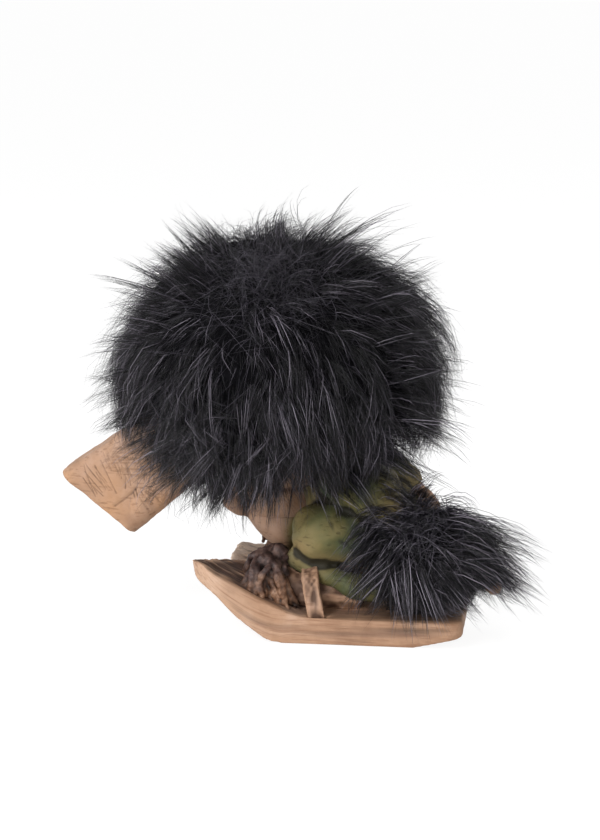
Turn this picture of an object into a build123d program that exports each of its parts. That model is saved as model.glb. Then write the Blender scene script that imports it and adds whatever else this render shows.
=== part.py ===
from build123d import *
from math import asin, cos, degrees, pi, radians, sin, tan
import os

os.makedirs("parts", exist_ok=True)

# The figure faces -Y with +X on its own left, and stands on its skis at the height of zero.
# Lengths are millimetres from the middle of the footprint. Names that end in across, along and up
# are places on X, Y and Z; those that end in forward and over are measured in the bowed head.

# Fits
overrun = 1.0
seat_gap = 0.2
peg_gap = 0.15

# Skis
ski_width = 34.0
ski_gap = 9.0
ski_thickness = 9.0
ski_back = 61.5
ski_tip_heights = {"left": 26.5, "right": 15.5}
ski_inner_height = 18.6
ski_twist = 15.0
ski_tip_corner = 11.0
ski_tail_corner = 4.0
ski_fronts = {"left": 30.5, "right": 25.0}
sole_front = 1.0
sole_back = 46.0
sole_tail_lift = 3.6
deck_front = 12.0
ski_middle = (ski_gap + ski_width) / 2
# Places on the upturned front: how far back from the tip, and how high up towards it
sole_curve_shares = ((0.19, 0.67), (0.46, 0.38), (0.70, 0.15))
deck_curve_shares = ((0.22, 0.77), (0.36, 0.60), (0.51, 0.41), (0.76, 0.13))
tip_shares = ((0.03, 0.92), (0.0, 0.97), (0.02, 1.0))

# Feet
heel_along = 21.5
heel_up = 14.0
heel_radius = 6.5
ball_along = 2.0
ball_up = 15.5
ball_radius = 7.5
toe_length = 10.5
toe_radius = 3.1
great_toe_radius = 4.0
toe_rise = 2.0
toe_count = 4
foot_peg_radius = 3.0
foot_peg_depth = 4.5
# Hair on the instep
instep_fur_along = -3.0
instep_fur_up = 24.6
instep_fur_radius = 5.3
fur_lock_length = 11.0
fur_lock_radius = 2.8
fur_lock_tip = 1.3
fur_lock_drop = 12.0
fur_lock_fan = 110.0
# Locks from one side to the other: share of the fan, of the length and of the drop
fur_lock_shares = (
    (-1.0, 1.10, 1.0),
    (-0.66, 1.05, 0.80),
    (-0.30, 0.95, 0.40),
    (0.05, 0.85, 0.28),
    (0.36, 0.95, 0.48),
    (0.70, 1.10, 0.85),
    (1.0, 1.15, 1.0),
)

# Binding straps
strap_along = 9.0
strap_width = 5.4
strap_lean = 14.0
strap_thickness = 1.8
strap_half_across = 15.3
strap_slack = 0.5
strap_tenon = 3.0

# Trousers
hip_across = 14.5
hip_along = 32.0
hip_up = 33.0
hip_radius = 11.5
knee_across = 23.0
knee_along = 13.0
knee_up = 34.5
knee_radius = 10.0
shin_along = 6.0
shin_up = 25.5
shin_radius = 4.5
ankle_along = 20.5
ankle_up = 15.5
ankle_radius = 4.0
ankle_peg_radius = 2.0
ankle_peg_depth = 1.5
seat_along = 33.0
seat_up = 31.0
seat_radius = 12.0
seat_half_across = 8.0
hip_dowel_radius = 3.0
hip_dowel_depth = 6.0

# Tunic
tunic_half_across = 22.5
tunic_half_along = 17.0
tunic_hem_along = 23.0
tunic_hem_up = 28.0
tunic_top_along = 13.0
tunic_top_up = 54.0
tunic_lean = 24.0
# Rings from the hem to the neck: place on the way up, width, depth, lean, bulge to the back
tunic_shares = (
    (0.0, 0.94, 0.92, 0.2, 0.0),
    (0.18, 1.0, 1.0, 0.3, 0.03),
    (0.48, 0.99, 1.0, 0.6, 0.12),
    (0.80, 0.86, 0.88, 0.9, 0.08),
    (1.0, 0.55, 0.62, 1.0, 0.0),
)

# Arms, swept back
shoulder_across = 21.0
shoulder_along = 18.0
shoulder_up = 53.0
shoulder_radius = 7.5
elbow_across = 26.0
elbow_along = 29.5
elbow_up = 48.0
elbow_radius = 6.6
cuff_across = 26.5
cuff_along = 37.5
cuff_up = 42.0
cuff_radius = 5.3
wrist_radius = 3.4
palm_length = 7.0
palm_radius = 4.2
palm_drop = 50.0
finger_length = 6.5
finger_radius = 1.7
finger_count = 4
finger_fan = 50.0

# Head, bowed forward over the skis
head_along = -6.0
head_up = 80.0
head_radius = 36.0
head_bow = 34.0
head_wall = 2.2
jaw_top_forward = 12.0
jaw_top_over = -8.0
jaw_top_radius = 20.0
jaw_forward = 19.0
jaw_over = -29.0
jaw_radius = 14.0
brow_half_across = 9.0
brow_over = 16.5
brow_forward = 32.5
brow_radius = 3.5
cheek_across = 9.5
cheek_over = -6.5
cheek_forward = 30.5
cheek_radius = 7.5
lip_half_across = 9.0
lip_radius = 3.0
mouth_over = -23.5
mouth_forward = 32.5
mouth_lift = 2.5
eye_across = 10.0
eye_over = 9.5
eye_forward = 33.5
eye_radius = 3.6
chin_over = -41.0
chin_forward = 27.0
chin_radius = 10.5
chin_peg_radius = 3.0
chin_peg_length = 9.0
neck_low_along = 17.0
neck_low_up = 37.0
neck_high_along = 3.0
neck_high_drop = 19.0
neck_high_up = head_up - neck_high_drop
neck_radius = 6.0

# Nose
nose_width = 26.0
nose_height = 32.2
nose_over = 0.2
nose_tip_forward = 73.6
nose_root_forward = 30.5
nose_tip_slant = 16.0
nose_corner = 5.0
nose_wall = 2.0
nose_peg_radius = 5.0
nose_peg_length = 8.0
nostril_wing_radius = 6.5
nostril_wing_proud = 1.6
nostril_radius = 2.4
nostril_depth = 7.0
nostril_across = 6.5
nostril_roof = 2.0
# Rings from the root to the tip: place on the way, width, height
nose_shares = ((0.0, 0.76, 0.92), (0.42, 0.97, 0.98), (0.72, 1.0, 1.0), (1.0, 0.93, 1.02))
nose_hollow_shares = (0.38, 0.70, 0.92)
wing_share = 0.68

# Hair
backing_thickness = 1.2
mop_half_across = 57.0
mop_half_along = 61.0
mop_along = -5.5
mop_hem_up = 45.0
mop_top_up = 137.0
mop_lean = 13.0
mop_lobe_count = 24
mop_valley_share = 0.18
under_mop_radius = 32.0
under_mop_along = 10.0
under_mop_up = 41.0
face_window_radius = 21.5
face_window_length = 75.0
# Rings from the hem to the crown: place on the way up, size, lean, shift to the back
mop_shares = (
    (0.0, 0.74, 1.0, 0.12),
    (0.15, 0.88, 0.75, 0.09),
    (0.31, 0.97, 0.5, 0.03),
    (0.46, 1.0, 0.3, 0.0),
    (0.62, 0.96, 0.1, 0.0),
    (0.76, 0.84, 0.0, 0.0),
    (0.88, 0.65, 0.0, 0.0),
    (0.96, 0.42, 0.0, 0.0),
    (1.0, 0.2, 0.0, 0.0),
)

# Tail
tail_root_along = 41.5
tail_root_up = 31.0
tail_root_radius = 4.6
tail_bend_across = 9.0
tail_bend_along = 49.0
tail_bend_up = 33.0
tail_bend_radius = 4.0
tail_end_across = 24.0
tail_end_along = 71.0
tail_end_up = 18.0
tail_end_radius = 2.6
tail_peg_radius = 2.6
tail_peg_depth = 3.0
tuft_across = 24.0
tuft_along = 55.0
tuft_up = 28.0
tuft_half_across = 16.0
tuft_half_along = 25.0
tuft_half_up = 19.5
tuft_drop = 8.0
tuft_lobe_count = 16
tuft_valley_share = 0.14
# Rings from front to back: place along, size, share of the drop
tuft_shares = (
    (-1.0, 0.36, 0.5),
    (-0.78, 0.76, 0.2),
    (-0.42, 1.0, 0.0),
    (0.0, 0.95, 0.0),
    (0.36, 0.72, 0.0),
    (0.68, 0.50, 0.3),
    (1.0, 0.2, 1.0),
)

sides = {"left": 1, "right": -1}
instep_share = (heel_along - strap_along) / (heel_along - ball_along)
instep_up = heel_up + heel_radius + instep_share * (ball_up + ball_radius - heel_up - heel_radius)
strap_top_up = instep_up + strap_slack + strap_thickness
head_frame = Plane(
    origin=(0, head_along, head_up),
    x_dir=(1, 0, 0),
    z_dir=(0, -cos(radians(head_bow)), -sin(radians(head_bow))),
)


def in_head(across, over, forward):
    """A place given in the bowed head, as one in the figure."""
    return head_frame.from_local_coords(Vector(across, over, forward))


def limb(start, end, start_radius, end_radius):
    """A round limb in one turned piece: a ball at each end, and the cone that touches both."""
    start, end = Vector(start), Vector(end)
    length = (end - start).length
    slope = asin((start_radius - end_radius) / length)
    touch = Vector(cos(slope), sin(slope))
    with BuildPart() as shape:
        with BuildSketch(Plane.XZ):
            with BuildLine():
                CenterArc((0, 0), start_radius, -90, 90 + degrees(slope))
                Line(touch * start_radius, Vector(0, length) + touch * end_radius)
                CenterArc((0, length), end_radius, degrees(slope), 90 - degrees(slope))
                Line((0, length + end_radius), (0, -start_radius))
            make_face()
        revolve(axis=Axis.Z)
    return shape.part.moved(Plane(origin=start, z_dir=end - start).location)


def pin(start, end, radius):
    """A plain round pin between two places, for pegs and for the bores that take them."""
    start, end = Vector(start), Vector(end)
    with BuildPart() as shape:
        with BuildSketch(Plane(origin=start, z_dir=end - start)):
            Circle(radius)
        extrude(amount=(end - start).length)
    return shape.part


def ball(place, radius):
    """A ball at a place."""
    with BuildPart() as shape:
        with Locations(Vector(place)):
            Sphere(radius)
    return shape.part


def lobed_ring(plane, half_wide, half_deep, lobe_count, valley_share):
    """A closed outline of pointed locks, as wide and deep as told."""
    points = []
    for step in range(2 * lobe_count):
        reach = 1 - valley_share * (step % 2)
        angle = pi * step / lobe_count
        points.append((half_wide * reach * cos(angle), half_deep * reach * sin(angle)))
    with BuildSketch(plane) as ring:
        with BuildLine():
            Polyline(*points, close=True)
        make_face()
    return ring.sketch


def ski_blank(name):
    """One ski before it is bored: the side outline cut to that seen from above, its tip twisted."""
    front = -ski_fronts[name]
    sole_run = sole_front - front
    deck_run = deck_front - front
    height = ski_tip_heights[name]
    rise = height - ski_thickness
    sole = [(front + far * sole_run, high * height) for far, high in sole_curve_shares]
    deck = [(front + far * deck_run, ski_thickness + high * rise) for far, high in deck_curve_shares]
    tip = [(front + far * sole_run, high * height) for far, high in tip_shares]
    middle = sides[name] * ski_middle
    with BuildPart() as board:
        with BuildSketch(Plane.YZ.offset(middle - ski_width / 2)):
            with BuildLine():
                Spline((sole_front, 0), *reversed(sole), tip[0], tangents=[(-1, 0), (0, 1)])
                ThreePointArc(*tip)
                Spline(tip[-1], *deck, (deck_front, ski_thickness), tangents=[(1, 0), (1, 0)])
                Line((deck_front, ski_thickness), (ski_back, ski_thickness))
                Line((ski_back, ski_thickness), (ski_back, sole_tail_lift))
                Line((ski_back, sole_tail_lift), (sole_back, 0))
                Line((sole_back, 0), (sole_front, 0))
            make_face()
        extrude(amount=ski_width)
        with BuildSketch(Plane.XY.offset(-overrun)):
            with BuildLine():
                FilletPolyline(
                    (middle + ski_width / 2, front),
                    (middle + ski_width / 2, ski_back),
                    (middle - ski_width / 2, ski_back),
                    (middle - ski_width / 2, front),
                    radius=[ski_tip_corner, ski_tail_corner, ski_tail_corner, ski_tip_corner],
                    close=True,
                )
            make_face()
        extrude(amount=height + 2 * overrun, mode=Mode.INTERSECT)
        # Above the twist: a slope that rises from the inner edge to the outer one
        slope = tan(radians(ski_twist))
        inner = sides[name] * (ski_gap / 2 - overrun)
        outer = sides[name] * (ski_gap / 2 + ski_width + overrun)
        top = height + ski_width
        with BuildSketch(Plane.XZ.offset(-ski_back - overrun)):
            with BuildLine():
                Polyline(
                    (inner, ski_inner_height - overrun * slope),
                    (outer, ski_inner_height + (ski_width + overrun) * slope),
                    (outer, top),
                    (inner, top),
                    close=True,
                )
            make_face()
        extrude(amount=ski_back - front + 2 * overrun, mode=Mode.SUBTRACT)
    return board.part


def strap_band(name, grow=0.0):
    """A flat band bent over the instep and leaning forward, its ends let into the ski."""
    lean = radians(strap_lean)
    rise = strap_top_up - ski_thickness
    spring = rise / cos(lean) - strap_half_across
    low = -strap_tenon - grow
    outer = strap_half_across + grow
    inner = strap_half_across - strap_thickness - grow
    foot_of_band = (sides[name] * ski_middle, strap_along + rise * sin(lean) / cos(lean), ski_thickness)
    leaning = Plane(origin=foot_of_band, x_dir=(1, 0, 0), z_dir=(0, -cos(lean), -sin(lean)))
    with BuildPart() as shape:
        with BuildSketch(leaning):
            for reach, mode in ((outer, Mode.ADD), (inner, Mode.SUBTRACT)):
                with BuildLine():
                    Line((-reach, low), (-reach, spring))
                    ThreePointArc((-reach, spring), (0, spring + reach), (reach, spring))
                    Line((reach, spring), (reach, low))
                    Line((reach, low), (-reach, low))
                make_face(mode=mode)
        extrude(amount=strap_width / 2 + grow, both=True)
    return shape.part


def foot_body(name, grow=0.0):
    """The foot and its toes, before the ski is cut away below it."""
    side = sides[name]
    middle = side * ski_middle
    with BuildPart() as shape:
        heel = (middle, heel_along, heel_up)
        ball_of_foot = (middle, ball_along, ball_up)
        add(limb(heel, ball_of_foot, heel_radius + grow, ball_radius + grow))
        for toe in range(toe_count):
            radius = great_toe_radius if toe == 0 else toe_radius
            share = toe / (toe_count - 1)
            across = middle + side * (share - 0.5) * 2 * (ball_radius - radius)
            root = (across, ball_along - ball_radius / 2, ball_up)
            tip = (across, ball_along - toe_length + share * radius, ball_up + toe_rise)
            add(limb(root, tip, radius + grow, radius + grow))
    return shape.part


def leg_body(name, grow=0.0):
    """Thigh and shin of a trouser leg, bent sharply at the knee."""
    side = sides[name]
    hip = (side * hip_across, hip_along, hip_up)
    knee = (side * knee_across, knee_along, knee_up)
    shin = (side * knee_across, shin_along, shin_up)
    ankle = (side * ski_middle, ankle_along, ankle_up)
    with BuildPart() as shape:
        add(limb(hip, knee, hip_radius + grow, knee_radius + grow))
        add(limb(shin, ankle, shin_radius + grow, ankle_radius + grow))
    return shape.part


def sleeve_body(name, grow=0.0):
    """A sleeve from the shoulder over the elbow to the cuff."""
    side = sides[name]
    shoulder = (side * shoulder_across, shoulder_along, shoulder_up)
    elbow = (side * elbow_across, elbow_along, elbow_up)
    cuff = (side * cuff_across, cuff_along, cuff_up)
    with BuildPart() as shape:
        add(limb(shoulder, elbow, shoulder_radius + grow, elbow_radius + grow))
        add(limb(elbow, cuff, elbow_radius + grow, cuff_radius + grow))
    return shape.part


def hand_body(name, grow=0.0):
    """A drooping hand: palm and four fingers that fan out."""
    side = sides[name]
    cuff = Vector(side * cuff_across, cuff_along, cuff_up)
    drop = radians(palm_drop)
    droop = Plane(origin=cuff, x_dir=(1, 0, 0), z_dir=(0, cos(drop), -sin(drop)))
    knuckles = droop.from_local_coords(Vector(0, 0, cuff_radius + palm_length))
    with BuildPart() as shape:
        add(limb(cuff, knuckles, wrist_radius + grow, palm_radius + grow))
        for finger in range(finger_count):
            share = finger / (finger_count - 1) - 0.5
            angle = radians(share * finger_fan)
            spread = share * 2 * (palm_radius - finger_radius)
            root = (spread, 0, cuff_radius + palm_length)
            tip = (
                spread + finger_length * sin(angle),
                0,
                cuff_radius + palm_length + palm_radius / 2 + finger_length * cos(angle),
            )
            ends = [droop.from_local_coords(Vector(place)) for place in (root, tip)]
            add(limb(*ends, finger_radius + grow, finger_radius + grow))
    return shape.part


def seat_body(grow=0.0):
    """The seat of the trousers, between the two hips."""
    left = (seat_half_across, seat_along, seat_up)
    right = (-seat_half_across, seat_along, seat_up)
    return limb(left, right, seat_radius + grow, seat_radius + grow)


def tunic_body(grow=0.0):
    """The tunic as oval rings that lean further forward the higher they stand."""
    rise = tunic_top_up - tunic_hem_up
    with BuildPart() as shape:
        for way, wide, deep, lean, bulge in tunic_shares:
            along = tunic_hem_along + way * (tunic_top_along - tunic_hem_along) + bulge * rise
            level = Plane(origin=(0, along, tunic_hem_up + way * rise))
            with BuildSketch(level.rotated((lean * tunic_lean, 0, 0))):
                Ellipse(wide * tunic_half_across + grow, deep * tunic_half_along + grow)
        loft()
    return shape.part


def skull_body(shrink=0.0):
    """The round head and the jaw under it; a shrink gives the hollow inside its wall."""
    jaw_top = in_head(0, jaw_top_over, jaw_top_forward)
    jaw_end = in_head(0, jaw_over, jaw_forward)
    with BuildPart() as shape:
        with Locations((0, head_along, head_up)):
            Sphere(head_radius - shrink)
        add(limb(jaw_top, jaw_end, jaw_top_radius - shrink, jaw_radius - shrink))
    return shape.part


def lip(over, radius):
    """One lip: a round roll along a gentle smile, with rounded ends."""
    corner_over = over + mouth_lift
    corner_forward = mouth_forward - lip_radius
    left = in_head(lip_half_across, corner_over, corner_forward)
    right = in_head(-lip_half_across, corner_over, corner_forward)
    with BuildPart() as shape:
        with BuildLine():
            smile = ThreePointArc(left, in_head(0, over, mouth_forward), right)
        with BuildSketch(Plane(origin=smile @ 0, z_dir=smile % 0)):
            Circle(radius)
        sweep()
        with Locations(left, right):
            Sphere(radius)
    return shape.part


def face_body(grow=0.0):
    """What stands out from the skull: the brow, the cheeks and the upper lip."""
    brow_ends = [in_head(end * brow_half_across, brow_over, brow_forward) for end in (1, -1)]
    with BuildPart() as shape:
        add(limb(*brow_ends, brow_radius + grow, brow_radius + grow))
        for end in (1, -1):
            add(ball(in_head(end * cheek_across, cheek_over, cheek_forward), cheek_radius + grow))
        add(lip(mouth_over, lip_radius + grow))
    return shape.part


def lower_jaw_body(grow=0.0):
    """The chin and the lower lip."""
    with BuildPart() as shape:
        add(ball(in_head(0, chin_over, chin_forward), chin_radius + grow))
        add(lip(mouth_over - 2 * lip_radius - seat_gap, lip_radius + grow))
    return shape.part


def nose_ring(way, width, height, over=nose_over):
    """One rounded ring of the nose, square to its axis but slanted towards the tip."""
    forward = nose_root_forward + way * (nose_tip_forward - nose_root_forward)
    place = Plane(origin=in_head(0, over, forward), x_dir=(1, 0, 0), z_dir=head_frame.z_dir)
    with BuildSketch(place.rotated((way**2 * nose_tip_slant, 0, 0))) as ring:
        RectangleRounded(width, height, min(nose_corner, width / 3))
    return ring.sketch


def tail_body(grow=0.0):
    """The bare tail, from the seat of the trousers round to the left."""
    root = (0, tail_root_along, tail_root_up)
    bend = (tail_bend_across, tail_bend_along, tail_bend_up)
    end = (tail_end_across, tail_end_along, tail_end_up)
    with BuildPart() as shape:
        add(limb(root, bend, tail_root_radius + grow, tail_bend_radius + grow))
        add(limb(bend, end, tail_bend_radius + grow, tail_end_radius + grow))
    return shape.part


def face_window():
    """The gap in the hair through which the nose, the mouth and the chin come out."""
    brow = in_head(0, nose_over, head_radius / 2)
    beyond_nose = in_head(0, nose_over, head_radius / 2 + face_window_length)
    mouth = in_head(0, cheek_over, head_radius / 2)
    beyond_chin = in_head(0, 2 * chin_over, head_radius / 2 + face_window_length)
    with BuildPart() as shape:
        add(limb(brow, beyond_nose, face_window_radius, face_window_radius))
        add(limb(mouth, beyond_chin, face_window_radius, face_window_radius))
    return shape.part


# Each neighbour's shape with its clearance, for the seats cut in the pieces around it
ski_blanks = {name: ski_blank(name) for name in sides}
clear_ski = {name: ski_blanks[name].moved(Location((0, 0, seat_gap))) for name in sides}
clear_strap = {name: strap_band(name, seat_gap) for name in sides}
clear_foot = {name: foot_body(name, seat_gap) for name in sides}
clear_leg = {name: leg_body(name, seat_gap) for name in sides}
clear_sleeve = {name: sleeve_body(name, seat_gap) for name in sides}
clear_hand = {name: hand_body(name, seat_gap) for name in sides}
clear_seat = seat_body(seat_gap)
clear_tail = tail_body(seat_gap)
clear_skull = skull_body(-seat_gap)
clear_face = face_body(seat_gap)
clear_jaw = lower_jaw_body(seat_gap)

# Skis, each with a bore for the foot's peg and two mortises for the strap
for name, side in sides.items():
    with BuildPart() as ski:
        add(ski_blanks[name])
        with Locations((side * ski_middle, heel_along, ski_thickness - foot_peg_depth)):
            Cylinder(
                foot_peg_radius + peg_gap,
                foot_peg_depth + overrun,
                align=(Align.CENTER, Align.CENTER, Align.MIN),
                mode=Mode.SUBTRACT,
            )
        add(strap_band(name, peg_gap), mode=Mode.SUBTRACT)
    ski.part.label = f"{name}_ski"
    export_step(ski.part, f"parts/{name}_ski.step")

    with BuildPart() as strap:
        add(strap_band(name))
    strap.part.label = f"{name}_binding_strap"
    export_step(strap.part, f"parts/{name}_binding_strap.step")

# Feet, legs and the hair on each instep
for name, side in sides.items():
    middle = side * ski_middle
    shin = Vector(side * knee_across, shin_along, shin_up)
    ankle = Vector(middle, ankle_along, ankle_up)
    down = (ankle - shin).normalized()
    ankle_peg_end = ankle + down * (ankle_radius + ankle_peg_depth)

    # The bare foot is seated on the ski and pegged into it, and bored for the leg's peg
    with BuildPart() as foot:
        add(foot_body(name))
        add(clear_ski[name], mode=Mode.SUBTRACT)
        with Locations((middle, heel_along, ski_thickness - foot_peg_depth + peg_gap)):
            Cylinder(
                foot_peg_radius,
                foot_peg_depth + heel_radius / 2,
                align=(Align.CENTER, Align.CENTER, Align.MIN),
            )
        add(clear_leg[name], mode=Mode.SUBTRACT)
        add(pin(ankle, ankle_peg_end + down * peg_gap, ankle_peg_radius + peg_gap), mode=Mode.SUBTRACT)
    foot.part.label = f"{name}_foot"
    export_step(foot.part, f"parts/{name}_foot.step")

    # Curls of hair fan out forwards from the instep over the toes
    crown = (middle, instep_fur_along, instep_fur_up)
    with BuildPart() as instep_fur:
        add(ball(crown, instep_fur_radius))
        for turn, reach, drop in fur_lock_shares:
            fan = radians(turn * fur_lock_fan)
            tip = (
                middle + reach * fur_lock_length * sin(fan),
                instep_fur_along - reach * fur_lock_length * cos(fan),
                instep_fur_up - drop * fur_lock_drop,
            )
            add(limb(crown, tip, fur_lock_radius, fur_lock_tip))
        add(clear_foot[name], mode=Mode.SUBTRACT)
        add(clear_leg[name], mode=Mode.SUBTRACT)
        add(clear_ski[name], mode=Mode.SUBTRACT)
        add(clear_strap[name], mode=Mode.SUBTRACT)
    instep_fur.part.label = f"{name}_ankle_fur"
    export_step(instep_fur.part, f"parts/{name}_ankle_fur.step")

    # A trouser leg has a peg for the foot, a bore for the hip dowel and a notch over the strap
    hip = Vector(side * hip_across, hip_along, hip_up)
    dowel_end = hip + Vector(side * (hip_dowel_depth + peg_gap), 0, 0)
    with BuildPart() as leg:
        add(leg_body(name))
        add(pin(ankle, ankle_peg_end, ankle_peg_radius))
        add(clear_ski[name], mode=Mode.SUBTRACT)
        add(clear_strap[name], mode=Mode.SUBTRACT)
        add(pin((0, hip_along, hip_up), dowel_end, hip_dowel_radius + peg_gap), mode=Mode.SUBTRACT)
    leg.part.label = f"{name}_trouser_leg"
    export_step(leg.part, f"parts/{name}_trouser_leg.step")

# Seat of the trousers, with a dowel into each hip and a bore for the root of the tail
tail_root = Vector(0, tail_root_along, tail_root_up)
tail_peg_end = tail_root - Vector(0, tail_root_radius + tail_peg_depth, 0)
with BuildPart() as trouser_seat:
    add(seat_body())
    for name, side in sides.items():
        add(clear_leg[name], mode=Mode.SUBTRACT)
    for side in sides.values():
        dowel_end = (side * (hip_across + hip_dowel_depth), hip_along, hip_up)
        add(pin((0, hip_along, hip_up), dowel_end, hip_dowel_radius))
    add(clear_tail, mode=Mode.SUBTRACT)
    bore_end = tail_peg_end - Vector(0, peg_gap, 0)
    add(pin(tail_root, bore_end, tail_peg_radius + peg_gap), mode=Mode.SUBTRACT)
trouser_seat.part.label = "trouser_seat"
export_step(trouser_seat.part, "parts/trouser_seat.step")

# Tunic, cut to sit over the hips, under the head and between the arms, and the peg for the head
neck_low = (0, neck_low_along, neck_low_up)
neck_high = (0, neck_high_along, neck_high_up)
with BuildPart() as tunic:
    add(tunic_body())
    add(clear_seat, mode=Mode.SUBTRACT)
    for name in sides:
        add(clear_leg[name], mode=Mode.SUBTRACT)
        add(clear_sleeve[name], mode=Mode.SUBTRACT)
    add(clear_tail, mode=Mode.SUBTRACT)
    add(clear_skull, mode=Mode.SUBTRACT)
    add(clear_jaw, mode=Mode.SUBTRACT)
    add(pin(neck_low, neck_high, neck_radius + peg_gap), mode=Mode.SUBTRACT)
tunic.part.label = "tunic"
export_step(tunic.part, "parts/tunic.step")

with BuildPart() as neck_peg:
    add(pin(neck_low, neck_high, neck_radius))
neck_peg.part.label = "neck_peg"
export_step(neck_peg.part, "parts/neck_peg.step")

# Sleeves that rest on the thighs, open at the cuff, and the hands that go into them
for name in sides:
    with BuildPart() as sleeve:
        add(sleeve_body(name))
        add(clear_skull, mode=Mode.SUBTRACT)
        add(clear_leg[name], mode=Mode.SUBTRACT)
        add(clear_hand[name], mode=Mode.SUBTRACT)
    sleeve.part.label = f"{name}_sleeve"
    export_step(sleeve.part, f"parts/{name}_sleeve.step")

    with BuildPart() as hand:
        add(hand_body(name))
    hand.part.label = f"{name}_hand"
    export_step(hand.part, f"parts/{name}_hand.step")

# Head: a hollow casting, bored for the neck, the nose, the chin and the eyes
nose_peg_start = in_head(0, nose_over, nose_root_forward - nose_peg_length)
nose_peg_end = in_head(0, nose_over, nose_root_forward + nose_peg_length)
chin_peg_start = in_head(
    0, chin_over + chin_radius / 2, chin_forward - chin_radius / 2 - chin_peg_length
)
chin_peg_end = in_head(0, chin_over, chin_forward)
eye_places = {
    name: in_head(side * eye_across, eye_over, eye_forward) for name, side in sides.items()
}
with BuildPart() as head:
    add(skull_body())
    add(face_body())
    add(skull_body(head_wall), mode=Mode.SUBTRACT)
    for name in sides:
        add(ball(eye_places[name], eye_radius + seat_gap), mode=Mode.SUBTRACT)
    add(clear_jaw, mode=Mode.SUBTRACT)
    add(pin(neck_low, neck_high, neck_radius + peg_gap), mode=Mode.SUBTRACT)
    add(pin(nose_peg_start, nose_peg_end, nose_peg_radius + peg_gap), mode=Mode.SUBTRACT)
    add(pin(chin_peg_start, chin_peg_end, chin_peg_radius + peg_gap), mode=Mode.SUBTRACT)
head.part.label = "head"
export_step(head.part, "parts/head.step")

with BuildPart() as lower_jaw:
    add(lower_jaw_body())
    add(pin(chin_peg_start, chin_peg_end, chin_peg_radius))
    add(pin(neck_low, neck_high, neck_radius + peg_gap), mode=Mode.SUBTRACT)
    for name in sides:
        add(clear_ski[name], mode=Mode.SUBTRACT)
lower_jaw.part.label = "lower_jaw"
export_step(lower_jaw.part, "parts/lower_jaw.step")

for name in sides:
    with BuildPart() as eye:
        add(ball(eye_places[name], eye_radius))
    eye.part.label = f"{name}_eye"
    export_step(eye.part, f"parts/{name}_eye.step")

# Nose: a blunt block with flared wings, hollow above the blind nostrils, and pegged into the head
nose_length = nose_tip_forward - nose_root_forward
wing_forward = nose_root_forward + nose_length * wing_share
wing_over = nose_over - nose_height / 2 + nostril_wing_radius
wing_across = nose_width / 2 - nostril_wing_radius + nostril_wing_proud
nostril_top = nose_over - nose_height / 2 + nostril_depth
with BuildPart() as nose:
    for way, wide, high in nose_shares:
        add(nose_ring(way, wide * nose_width, high * nose_height))
    loft()
    for side in sides.values():
        add(ball(in_head(side * wing_across, wing_over, wing_forward), nostril_wing_radius))
    add(clear_skull, mode=Mode.SUBTRACT)
    add(clear_face, mode=Mode.SUBTRACT)
    for name, side in sides.items():
        mouth = in_head(side * nostril_across, nose_over - nose_height, wing_forward)
        top = in_head(side * nostril_across, nostril_top, wing_forward)
        add(pin(mouth, top, nostril_radius), mode=Mode.SUBTRACT)
        add(ball(eye_places[name], eye_radius + seat_gap), mode=Mode.SUBTRACT)
    add(pin(nose_peg_start, nose_peg_end, nose_peg_radius))
hollow_floor = nostril_top + nostril_roof
with BuildPart() as nose_hollow:
    for way, (_, wide, high) in zip(nose_hollow_shares, nose_shares[1:]):
        hollow_top = nose_over + high * nose_height / 2 - nose_wall
        middle = (hollow_top + hollow_floor) / 2
        add(nose_ring(way, wide * nose_width - 2 * nose_wall, hollow_top - hollow_floor, middle))
    loft()
with BuildPart() as hollow_nose:
    add(nose.part)
    add(nose_hollow.part, mode=Mode.SUBTRACT)
hollow_nose.part.label = "nose"
export_step(hollow_nose.part, "parts/nose.step")

# The cloth cap that backs the hair, and the mop itself
backing_radius = head_radius + seat_gap + backing_thickness
mop_rise = mop_top_up - mop_hem_up
window = face_window()
under_mop = ball((0, under_mop_along, under_mop_up), under_mop_radius)
with BuildPart() as fur_backing:
    with Locations((0, head_along, head_up)):
        Sphere(backing_radius)
    for opening in (clear_skull, clear_face, clear_jaw, window, under_mop):
        add(opening, mode=Mode.SUBTRACT)
fur_backing.part.label = "fur_backing"
export_step(fur_backing.part, "parts/fur_backing.step")

mop_rings = []
for way, size, lean, shift in mop_shares:
    origin = (0, mop_along + shift * mop_half_along, mop_hem_up + way * mop_rise)
    level = Plane(origin=origin).rotated((lean * mop_lean, 0, 0))
    wide, deep = size * mop_half_across, size * mop_half_along
    mop_rings.append(lobed_ring(level, wide, deep, mop_lobe_count, mop_valley_share))
with BuildPart() as hair_pile:
    loft(mop_rings, ruled=True)
    with Locations((0, head_along, head_up)):
        Sphere(backing_radius + seat_gap, mode=Mode.SUBTRACT)
    for opening in (clear_skull, clear_face, clear_jaw, window, under_mop):
        add(opening, mode=Mode.SUBTRACT)
    for name in sides:
        add(clear_sleeve[name], mode=Mode.SUBTRACT)
hair_pile.part.label = "hair_pile"
export_step(hair_pile.part, "parts/hair_pile.step")

# Tail: a bare root pegged into the seat, in a tuft that lies on the left ski
with BuildPart() as tail_core:
    add(tail_body())
    add(pin(tail_root, tail_peg_end, tail_peg_radius))
tail_core.part.label = "tail_core"
export_step(tail_core.part, "parts/tail_core.step")

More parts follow.
